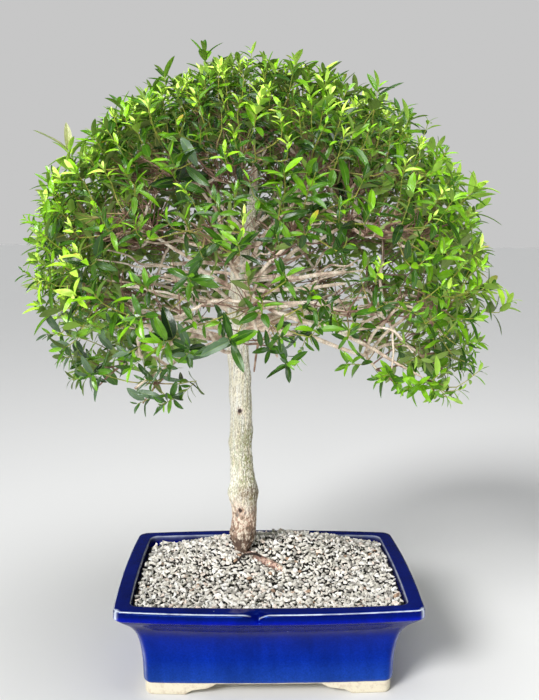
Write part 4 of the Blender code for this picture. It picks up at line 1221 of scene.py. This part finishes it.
# Seeded shoot tips over the dome, each no nearer to the next than the spacing there
def crownTips(sizes, sites):
    rng = random.Random(treeSizes["seed"] + 7)
    dome = sizes["dome"]
    parts, total = [], 0.0
    for high, low in zip(dome, dome[1:]):
        total += (high[1] + low[1]) * math.hypot(high[1] - low[1], high[0] - low[0])
        parts.append((total, high, low))
    anchors = [place + aim * sizes["anchorReach"] for place, aim in sites]
    groups = [[] for site in sites]
    grid = {}
    cell = sizes["anchorReach"]
    lowTop, lowDrop, lowShare = sizes["lowSpacing"]

    def nearest(point):
        return min(range(len(sites)), key=lambda index: (anchors[index] - point).length)

    for attempt in range(sizes["tries"]):
        pick = rng.random() * total
        high, low = next((high, low) for reach, high, low in parts if pick <= reach)
        share = rng.random()
        around = rng.uniform(0, 2 * math.pi)
        depth = rng.uniform(*sizes["innerDepth"]) if rng.random() < sizes["innerShare"] else 0.0
        height = high[0] + (low[0] - high[0]) * share
        radius = high[1] + (low[1] - high[1]) * share
        middle = high[2] + (low[2] - high[2]) * share
        fall = Vector((low[1] - high[1], 0, low[0] - high[0])).normalized()
        out = flatWay(around)
        normal = (out * -fall.z + up * fall.x).normalized()
        point = Vector((middle, 0, height)) + out * radius
        point += normal * (noise.noise(point * 15) * sizes["roughness"] - depth)
        spacing = sizes["spacing"] * (1 + lowShare * max(0.0, (lowTop - height) / lowDrop))
        spacing *= 1 + sizes["clump"] * noise.noise(point * 24 + Vector((0, 9, 0)))
        if point.y < sizes["frontY"]:       # the limbs show through here
            for thinX, thinZ, spreadX, spreadZ, strength in sizes["thin"]:
                away = ((point.x - thinX) / spreadX) ** 2 + ((height - thinZ) / spreadZ) ** 2
                spacing *= 1 + strength * math.exp(-away)
        elif height < sizes["backTop"]:
            spacing *= 1 + sizes["thinBack"]
        rim = tableValue(sizes["rim"], math.degrees(around))
        if point.z < rim + rng.uniform(-sizes["rimWobble"], sizes["rimWobble"]):
            continue
        if depth:
            spacing *= sizes["innerSpacing"]
        near = nearest(point)
        if (anchors[near] - point).length > sizes["siteReach"]:
            continue
        key = tuple(int(part // cell) for part in point)
        close = [other for x in (-1, 0, 1) for y in (-1, 0, 1) for z in (-1, 0, 1)
                 for other in grid.get((key[0] + x, key[1] + y, key[2] + z), ())]
        if any((other - point).length < spacing for other in close):
            continue
        grid.setdefault(key, []).append(point)
        groups[near].append((point, normal, depth))
    for place in sizes["standing"]:
        point = Vector(place)
        near = nearest(point)
        groups[near].append((point, (point - Vector((0, 0, 0.42))).normalized(), 0.0))
    return groups


def perpendicular(way, hint):
    side = hint - way * hint.dot(way)
    if side.length < 0.05:
        side = way.orthogonal()
    return side.normalized()


def twigWay(aim, rng, index, count, spread):
    share = (index + 0.5) / count
    polar = math.acos(1 - share * (1 - math.cos(math.radians(spread))))
    around = index * goldenAngle + rng.uniform(-0.4, 0.4)
    first = perpendicular(aim, up)
    second = aim.cross(first)
    side = first * math.cos(around) + second * math.sin(around)
    return (aim * math.cos(polar) + side * math.sin(polar)).normalized()


def leafTurn(along, normal):
    across = along.cross(normal)
    return Matrix((across, along, normal)).transposed().to_euler()


# The branch runs on through the spray, forks, and each fork carries a few leafy shoots
def growSpray(index, place, aim, branch, tips, leaves, twigs, bare):
    sizes = crownSizes
    rng = random.Random(treeSizes["seed"] * 100 + index)
    start = branch[-1][0]
    stemEnd = place + aim * 0.004
    middle = start.lerp(stemEnd, 0.5) + up * 0.002
    stem = smoothLine(list(zip((start, middle, stemEnd), sizes["stemRadii"])), 0.005)
    twigs.append([(*knot, 0.0) for knot in stem])
    leader = branch[-4:-1] + stem
    waiting = list(tips)
    while waiting:
        seedTip = max(waiting, key=lambda tip: (tip[0] - place).length)
        waiting.sort(key=lambda tip: (tip[0] - seedTip[0]).length)
        count = rng.choice([sizes["shootsPerFork"] + more for more in (-1, 0, 1)])
        taken, waiting = waiting[:count], waiting[count:]
        middle = sum((tip[0] for tip in taken), Vector()) / len(taken)
        fork = min(leader, key=lambda item: (item[0] - middle).length
                   + 1.4 * max(0.0, (item[0] - start).dot(aim)))[0]
        node = fork.lerp(middle, rng.uniform(*sizes["forkShare"])) + jitter(rng, 0.004)
        bend = fork.lerp(node, 0.5) + jitter(rng, 0.003)
        line = smoothLine(list(zip((fork, bend, node), sizes["forkRadii"])), sizes["stepLength"])
        twigs.append([(*knot, 0.1) for knot in line])
        for tip, normal, depth in taken:
            growShoot(rng, fork.lerp(node, rng.uniform(0.75, 1.0)), tip, normal, depth,
                      leaves, twigs)
    count = sizes["bareTwigs"][place.z > sizes["backTop"]]
    for number in range(count):
        way = twigWay(aim, rng, number, count, 100)
        way.z = max(way.z, -0.10)
        origin = branch[rng.randrange(len(branch) // 2, len(branch))][0]
        knots = [(origin, 0.0008), (origin + way * rng.uniform(0.010, 0.020)
                                    + jitter(rng, 0.003), 0.0007)]
        for sway, low, high, radius in ((0.3, 0.012, 0.022, 0.0005), (0.5, 0.008, 0.016, 0.0003)):
            rise = (way + up * 0.4 + jitter(rng, sway)).normalized()
            knots.append((knots[-1][0] + rise * rng.uniform(low, high), radius))
        if min(point.z for point, radius in knots[1:]) < sizes["bareLowest"]:
            continue
        bare.append([(*knot, 0.0) for knot in smoothLine(knots, sizes["stepLength"])])


def jitter(rng, reach):
    return Vector([rng.uniform(-reach, reach) for axis in range(3)])


def growShoot(rng, node, tip, normal, depth, leaves, twigs, lift=0.0):
    sizes = crownSizes
    rise = sizes["riseHigh"] if tip.z > sizes["riseTop"] else sizes["riseLow"]
    axis = normal + up * rise * rng.uniform(0.5, 1.3) + jitter(rng, sizes["shootJitter"])
    axis.normalize()
    strong = rng.random() < sizes["strongShare"] and not depth
    finish = tip + axis * (rng.uniform(*sizes["strongReach"]) if strong else 0.0)
    before = tip - axis * min(0.016, (tip - node).length * 0.45)
    middle = node.lerp(before, 0.5) + jitter(rng, 0.003) - up * 0.001
    knots = list(zip((node, middle, before, finish), sizes["shootRadii"]))
    line = smoothLine(knots, sizes["stepLength"])
    total = len(line) - 1
    twigs.append([(point, radius, 0.25 + 0.75 * step / total)
                  for step, (point, radius) in enumerate(line)])
    lengths = [0.0]
    for (first, _), (second, _) in zip(line, line[1:]):
        lengths.append(lengths[-1] + (second - first).length)
    whole = lengths[-1]
    patch = noise.noise(tip * 11 + Vector((5, 0, 0)))
    high = within((tip.z - 0.43) / 0.20)
    aside = within((abs(tip.x + 0.008) / 0.24 - 0.38) / 0.45)
    aside *= within((tip.z - 0.35) / 0.07)
    base, byHeight, bySide, byPatch = sizes["freshShare"]
    share = base + byHeight * high + bySide * aside * (1 - high) + byPatch * patch
    front = within(-tip.y / 0.16)
    if tip.z < 0.46:
        share *= 1 - sizes["lowFrontLoss"] * front
    fresh = rng.random() < share
    vigour = rng.uniform(*sizes["vigour"]) * (1 - 0.10 * front)
    usual, more = sizes["largeShare"]
    if rng.random() < usual + more * max(aside, high) * (1 - 0.5 * front):
        small, large = sizes["largeVigour"]
        vigour = rng.uniform(small, large - 0.26 * front)
    paler = lift + 0.52 * aside + 0.09 * high
    # a few big grey-green leaves hang low in front
    oldPlace = not fresh and tip.z < 0.41 and tip.y < -0.04 and tip.x < 0.01
    around = rng.uniform(0, math.pi)
    station = whole
    for number, (gap, lengthRange, openRange, age) in enumerate(sizes["pairs"]):
        if station < whole * (1 - sizes["lastPair"]):
            break
        index = max(i for i, length in enumerate(lengths[:-1]) if length <= station + 1e-9)
        part = (station - lengths[index]) / max(1e-6, lengths[index + 1] - lengths[index])
        point = line[index][0].lerp(line[index + 1][0], min(1.0, part))
        axis = (line[index + 1][0] - line[index][0]).normalized()
        first = perpendicular(axis, up)
        second = axis.cross(first)
        around += math.pi / 2 + rng.uniform(-0.25, 0.25)
        for angle in (around, around + math.pi):
            length = rng.uniform(*lengthRange) * vigour
            wide = math.radians(rng.uniform(*openRange))
            if depth or not fresh:
                length *= sizes["oldGain"]
                wide += math.radians(10)
            if rng.random() < sizes["missing"][number]:
                continue
            aged = oldPlace and rng.random() < sizes["agedShare"]
            length = min(length * (sizes["agedGain"] if aged else 1.0), sizes["longestLeaf"])
            out = first * math.cos(angle) + second * math.sin(angle)
            along = axis * math.cos(wide) + out * math.sin(wide)
            top = axis * math.sin(wide) - out * math.cos(wide)
            sky = perpendicular(along, up)
            top = perpendicular(along, top * (1 - sizes["skyTurn"]) + sky * sizes["skyTurn"])
            isYoung = fresh and not depth and number < 3
            shade = age if fresh and not depth else age * 0.35 + paler - 1.8 * aged
            leaves.append((point + out * 0.0006, leafTurn(along, top), length, shade, isYoung))
        station -= gap * rng.uniform(0.85, 1.2)


# Kinds of leaves: (old, young) pairs; stations are the place along the leaf and its share of width
leafSizes = {
    "fold": ((0.10, 0.32), (0.20, 0.45)), "arch": ((0.08, 0.58), (0.18, 0.72)), "twist": 0.35,
    "width": ((0.25, 0.38), (0.235, 0.37)), "thickness": 0.014, "seed": 40,
    "stations": (((0.09, 0.46), (0.27, 0.88), (0.48, 1.00), (0.70, 0.88), (0.88, 0.52)),
                 ((0.13, 0.52), (0.38, 0.97), (0.64, 0.93), (0.86, 0.54))),
}


# One leaf, a unit long: a closed blade folded along its midrib, arched and a little twisted
def leafMesh(index, young):
    sizes = leafSizes
    rng = random.Random(sizes["seed"] + index + 20 * young)
    fold = rng.uniform(*sizes["fold"][young])
    arch = rng.uniform(*sizes["arch"][young])
    twist = rng.uniform(-sizes["twist"], sizes["twist"])
    width = rng.uniform(*sizes["width"][young])
    stations = sizes["stations"][young]
    verts = [(0, 0, 0)]
    for t, share in stations:
        half = width * share / 2
        bend = -arch * t * t
        turn = twist * t
        for x in (-half, 0.0, half):
            verts.append((x * math.cos(turn), t, bend + fold * abs(x) + x * math.sin(turn)))
        verts.append((0, t, bend - sizes["thickness"]))
    verts.append((0, 1.0, -arch))
    faces, under = [], []
    last = len(verts) - 1
    for ring in range(len(stations) - 1):
        low, high = 1 + ring * 4, 5 + ring * 4
        for side in range(4):
            after = (side + 1) % 4
            faces.append((low + side, low + after, high + after, high + side))
            under.append(float(side >= 2))
    for side in range(4):
        after = (side + 1) % 4
        faces.append((0, 1 + after, 1 + side))
        faces.append((last, last - 4 + side, last - 4 + after))
        under += [float(side >= 2)] * 2
    mesh = meshOf("leaf_kind", verts, faces)
    setFloats(mesh, "under", under, 'FACE')
    uv = mesh.uv_layers.new(name="leafMap")
    for loop in mesh.loops:
        number = loop.vertex_index
        side = 1 if number in (0, last) else (number - 1) % 4
        uv.data[loop.index].uv = ((0.0, 0.5, 1.0, 0.5)[side], verts[number][1])
    mesh.shade_smooth()
    crease = set()      # both rims and the midrib
    for side in (0, 1, 2):
        path = [0] + [1 + ring * 4 + side for ring in range(len(stations))] + [last]
        crease |= {tuple(sorted(pair)) for pair in zip(path, path[1:])}
    sharp = mesh.attributes.new("sharp_edge", 'BOOLEAN', 'EDGE')
    sharp.data.foreach_set("value", [tuple(sorted(edge.vertices)) in crease
                                     for edge in mesh.edges])
    return mesh


def leafTree(kinds, material):
    tree, given = startTree("leaf_scatter", {
        "Length Spread": 0.1, "Tilt Spread": 0.2, "Width Spread": 0.15, "Seed": 3})

    def around(spread, seed):   # 1 - spread to 1 + spread
        return randomOf(minus(1.0, spread), plus(1.0, spread), plus(given["Seed"], float(seed)))

    points = addNode('GeometryNodeMeshToPoints', {"Mesh": given["Geometry"]}).outputs[0]
    length = times(storedOf("leafLength"), around(given["Length Spread"], 1))
    wide = times(length, around(given["Width Spread"], 2))
    high = given["Tilt Spread"]
    low = times(high, -1.0)
    sway = randomOf(threeOf(low, low, low), threeOf(high, high, high), given["Seed"],
                    'FLOAT_VECTOR')
    rotation = addNode('FunctionNodeRotateRotation', {
        0: turnOf(storedOf("leafTurn", 'FLOAT_VECTOR')), 1: turnOf(sway)}, rotation_space='LOCAL')
    leaves = scatter(points, kinds, rotation.outputs[0], threeOf(wide, length, length))
    endTree(tonedOf(leaves, "leafTone", 19), material)
    return tree


def leafPoints(name, leaves):
    mesh = meshOf(name, [leaf[0] for leaf in leaves])
    setFloats(mesh, "leafLength", [leaf[2] for leaf in leaves])
    setFloats(mesh, "leafAge", [leaf[3] for leaf in leaves])
    turns = mesh.attributes.new("leafTurn", 'FLOAT_VECTOR', 'POINT')
    turns.data.foreach_set("vector", [value for leaf in leaves for value in leaf[1]])
    return placeObject(name, mesh)


def sectorOf(place):
    if place.z > crownSizes["topHeight"]:
        return "top"
    azimuth = math.degrees(math.atan2(place.y, place.x)) % 360
    return ("right", "back", "left", "front")[int(((azimuth + 45) % 360) // 90)]


def makeCrown(sites, branches, materials, twigMaterial):
    groups = {}
    twigs, bare = [], []
    tips = crownTips(crownSizes, sites)
    for index, (place, aim) in enumerate(sites):
        leaves = []
        growSpray(index, place, aim, branches[index], tips[index], leaves, twigs, bare)
        group = groups.setdefault(sectorOf(place), ([], []))
        group[0].extend(leaves)
        group[1].append("spray_" + str(index + 1).zfill(2))
    rng = random.Random(treeSizes["seed"] + 53)
    seen = [point for line in seenLines(spareSizes)[:3] for point, radius in line[4:]]
    leaves = groups["front"][0]
    for place in spareSizes["leafy"]:
        tip = Vector(place)
        node = min(seen, key=lambda point: (point - tip).length)
        growShoot(rng, node, tip, (tip - node).normalized(), 0.0, leaves, twigs,
                  crownSizes["hangingLift"])
    for foot, tip, facing, age in crownSizes["marked"]:
        foot, tip = Vector(foot), Vector(tip)
        along = (tip - foot).normalized()
        turn = leafTurn(along, perpendicular(along, Vector(facing)))
        leaves.append((foot, turn, (tip - foot).length, age, False))
    total = 0
    for isYoung, slot in ((False, "leaf_green"), (True, "leaf_lime")):
        kinds = kindCollection("leaf_kind", [leafMesh(index, isYoung)
                                             for index in range(crownSizes["leafKinds"])])
        tree = leafTree(kinds, materials[slot])
        for sector in sorted(groups):
            leaves = [leaf for leaf in groups[sector][0] if leaf[4] == isYoung]
            total += len(leaves)
            name = ("new_leaves_" if isYoung else "old_leaves_") + sector
            piece = leafPoints(name, leaves)
            runTree(piece, tree, crownSizes["leafSpreads"])
            finishPiece(piece, materials[slot], groups[sector][1])
        dropCollection(kinds)
    say("shoots: " + str(sum(len(group) for group in tips)))
    tree = woodTree(twigMaterial)
    for name, chains in (("leafy_twigs", twigs), ("bare_twigs", bare)):
        makeWood(name, chains, tree, twigMaterial, crownSizes["twigBark"])
    say("leaves: " + str(total))


leafLook = {
    "dark": (0.003, 0.023, 0.005), "green": (0.037, 0.132, 0.005), "fresh": (0.25, 0.57, 0.010),
    "lime": (0.42, 0.74, 0.030), "pale": (0.67, 0.91, 0.16), "rust": (0.52, 0.30, 0.05),
    "rib": (0.30, 0.46, 0.05), "underShift": (0.44, 0.58, 0.14), "grey": (0.085, 0.145, 0.080),
    "blush": (0.42, 0.44, 0.19), "shine": 0.50,
    # tones by age, roughness and the share of leaves with rusty tips
    "leaf_green": (((0.05, "dark"), (0.40, "green"), (0.75, "fresh")), 0.19, 0.002),
    "leaf_lime": (((0.30, "fresh"), (0.58, "lime"), (0.95, "pale")), 0.27, 0.012),
}


def leafMaterial(name, look, kind):
    tones, roughness, rustShare = kind
    material, shader, place = startMaterial(name)
    tone = attributeOf("leafTone")
    age = attributeOf("leafAge")
    mixed = plus(times(tone, 0.55), times(age, 0.45))
    colour = rampOf(mixed, [(share, look[key]) for share, key in tones])
    colour = blendOf(rangeOf(age, -0.2, -0.6), colour, look["grey"])
    colour = blendOf(rangeOf(age, 1.4, 1.7), colour, look["blush"])
    cloud = rangeOf(noiseOf(place, 160.0, 3.0), 0.3, 0.7, 0.80, 1.18)
    colour = shadedBy(colour, cloud)
    blade = addNode('ShaderNodeUVMap', uv_map="leafMap").outputs[0]
    side, along, _ = partsOf(blade)
    across = mathOf('ABSOLUTE', minus(side, 0.5))
    rib = rangeOf(across, 0.045, 0.015)
    slant = plus(along, times(across, -0.55))
    wave = mathOf('SINE', times(slant, 95.0))
    veins = rangeOf(wave, 0.55, 1.0)
    colour = blendOf(times(rib, 0.26), colour, look["rib"])
    colour = blendOf(times(veins, 0.10), colour, look["rib"])
    tip = rangeOf(along, 0.35, 1.0)
    rusty = mathOf('GREATER_THAN', tone, 1 - rustShare)
    colour = blendOf(times(tip, rusty), colour, look["rust"])
    under = attributeOf("under")
    dull = blendOf(0.42, colour, look["underShift"])
    colour = blendOf(under, colour, dull)
    gloss = plus(rangeOf(under, 0.0, 1.0, roughness, roughness + 0.25),
                 rangeOf(tone, 0.0, 1.0, -0.05, 0.06))
    endMaterial(shader, colour, gloss, minus(times(veins, 0.25), rib), 0.0003, 0.5)
    feed(shader, {"Specular IOR Level": look["shine"]})
    return material


def twigMaterial():
    material, shader, place = startMaterial("twig_bark")
    patches = noiseOf(place, 130.0, 4.0)
    wood = rampOf(patches, ((0.30, (0.085, 0.040, 0.027)), (0.50, (0.23, 0.125, 0.085)),
                            (0.72, (0.50, 0.36, 0.26))))
    green = rampOf(patches, ((0.35, (0.22, 0.30, 0.03)), (0.65, (0.40, 0.36, 0.06))))
    young = attributeOf("young")
    colour = blendOf(rangeOf(young, 0.28, 0.62), wood, green)
    endMaterial(shader, colour, 0.7, patches, 0.0003, 0.6)
    return material


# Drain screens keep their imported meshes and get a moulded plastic

def dressScreens():
    material, shader, place = startMaterial("screen_plastic_fine")
    grain = noiseOf(place, 1500.0, 3.0)
    colour = rampOf(grain, ((0.3, (0.018, 0.018, 0.019)), (0.7, (0.045, 0.045, 0.046))))
    endMaterial(shader, colour, 0.55, grain, 0.0001, 0.5)
    for name in ("drain_screen_left", "drain_screen_right"):
        dressMesh(frame["nodes"][name].data, material)


# Studio: pale floor, soft light and the camera

studio = {
    "floorSide": 60.0, "floorColour": (0.82, 0.82, 0.81), "backColour": (0.57, 0.57, 0.57),
    "skyColour": (0.86, 0.92, 1.0), "skyStrength": 0.10,
    # name, kind, place, size or width in degrees, strength
    "lamps": (("key", 'SUN', (-0.70, -0.85, 1.10), 20.0, 3.15),
              ("top", 'AREA', (0.2, -0.4, 2.0), 1.3, 24.0),
              ("fill", 'SUN', (-0.3, -2.0, 0.40), 22.0, 2.42)),
    "lampAim": (0.0, 0.0, 0.36),
    "eye": (-0.0254, -0.9227, 0.4915), "pitch": 8.001, "yaw": -1.619, "roll": -0.399,
    "lens": 42.935, "sensor": 36.0,
}


def makeStudio(look):
    bm = bmesh.new()
    bmesh.ops.create_grid(bm, x_segments=2, y_segments=2, size=look["floorSide"] / 2)
    mesh = bpy.data.meshes.new("floor")
    bm.to_mesh(mesh)
    bm.free()
    floor = placeObject("floor", mesh)
    material, shader, place = startMaterial("floor_pale")
    cloud = noiseOf(place, 3.0, 4.0)
    colour = blendOf(rangeOf(cloud, 0.2, 0.8, 0.0, 0.06), look["floorColour"], (0.66, 0.66, 0.65))
    feed(shader, {"Base Color": colour, "Roughness": 0.9})
    dressMesh(mesh, material)
    world = bpy.data.worlds.new("studio")
    world.use_nodes = True
    building["tree"] = world.node_tree
    # the camera sees a pale backdrop, and the light is a dimmer sky
    nodes = world.node_tree.nodes
    sky = nodes["Background"]
    rays = addNode('ShaderNodeLightPath').outputs
    feed(sky, {"Color": (*look["skyColour"], 1.0), "Strength": look["skyStrength"]})
    back = addNode('ShaderNodeBackground', {0: (*look["backColour"], 1.0), 1: 1.0})
    both = addNode('ShaderNodeMixShader', {
        0: rays["Is Camera Ray"], 1: sky.outputs[0], 2: back.outputs[0]})
    feed(nodes["World Output"], {0: both.outputs[0]})
    bpy.context.scene.world = world
    for name, kind, place, size, strength in look["lamps"]:
        lamp = bpy.data.lights.new(name, kind)
        lamp.energy = strength
        if kind == 'SUN':
            lamp.angle = math.radians(size)
        else:
            lamp.shape = 'DISK'
            lamp.size = size
        thing = bpy.data.objects.new(name, lamp)
        thing.location = place
        aim = Vector(look["lampAim"]) - Vector(place)
        thing.rotation_euler = aim.to_track_quat('-Z', 'Y').to_euler()
        bpy.context.scene.collection.objects.link(thing)
    bpy.context.scene.view_settings.view_transform = 'Standard'


def makeCamera(look):
    camera = bpy.data.cameras.new("camera")
    camera.lens = look["lens"]
    camera.sensor_width = look["sensor"]
    thing = bpy.data.objects.new("camera", camera)
    pitch, yaw, roll = (math.radians(look[name]) for name in ("pitch", "yaw", "roll"))
    spin = Matrix(((math.cos(yaw), math.sin(yaw), 0), (-math.sin(yaw), math.cos(yaw), 0),
                   (0, 0, 1)))
    nod = Matrix(((1, 0, 0), (0, math.cos(pitch), -math.sin(pitch)),
                  (0, math.sin(pitch), math.cos(pitch))))
    lean = Matrix(((math.cos(roll), 0, -math.sin(roll)), (0, 1, 0),
                   (math.sin(roll), 0, math.cos(roll))))
    right, ahead, top = lean @ nod @ spin
    turn = Matrix((right, top, -ahead)).transposed().to_4x4()
    thing.matrix_world = Matrix.Translation(look["eye"]) @ turn
    bpy.context.scene.collection.objects.link(thing)
    bpy.context.scene.camera = thing


makeStudio(studio)
makeCamera(studio)
say("studio is set")
makePot(potSizes, glazeMaterial(glazeLook))
dressScreens()
say("pot is made")
makeGritBase(soilMaterial())
makeStones(gritMaterial(gritLook))
noise.seed_set(treeSizes["seed"])   # without it noise_vector changes from run to run
sites = spraySites(treeSizes)
makeTrunk(trunkMaterial(barkLook))
branches = makeLimbs(treeSizes, sites, limbMaterial(barkLook))
leafMaterials = {slot: leafMaterial(slot + "_fine", leafLook, leafLook[slot])
                 for slot in ("leaf_green", "leaf_lime")}
makeCrown(sites, branches, leafMaterials, twigMaterial())
say("crown is grown")
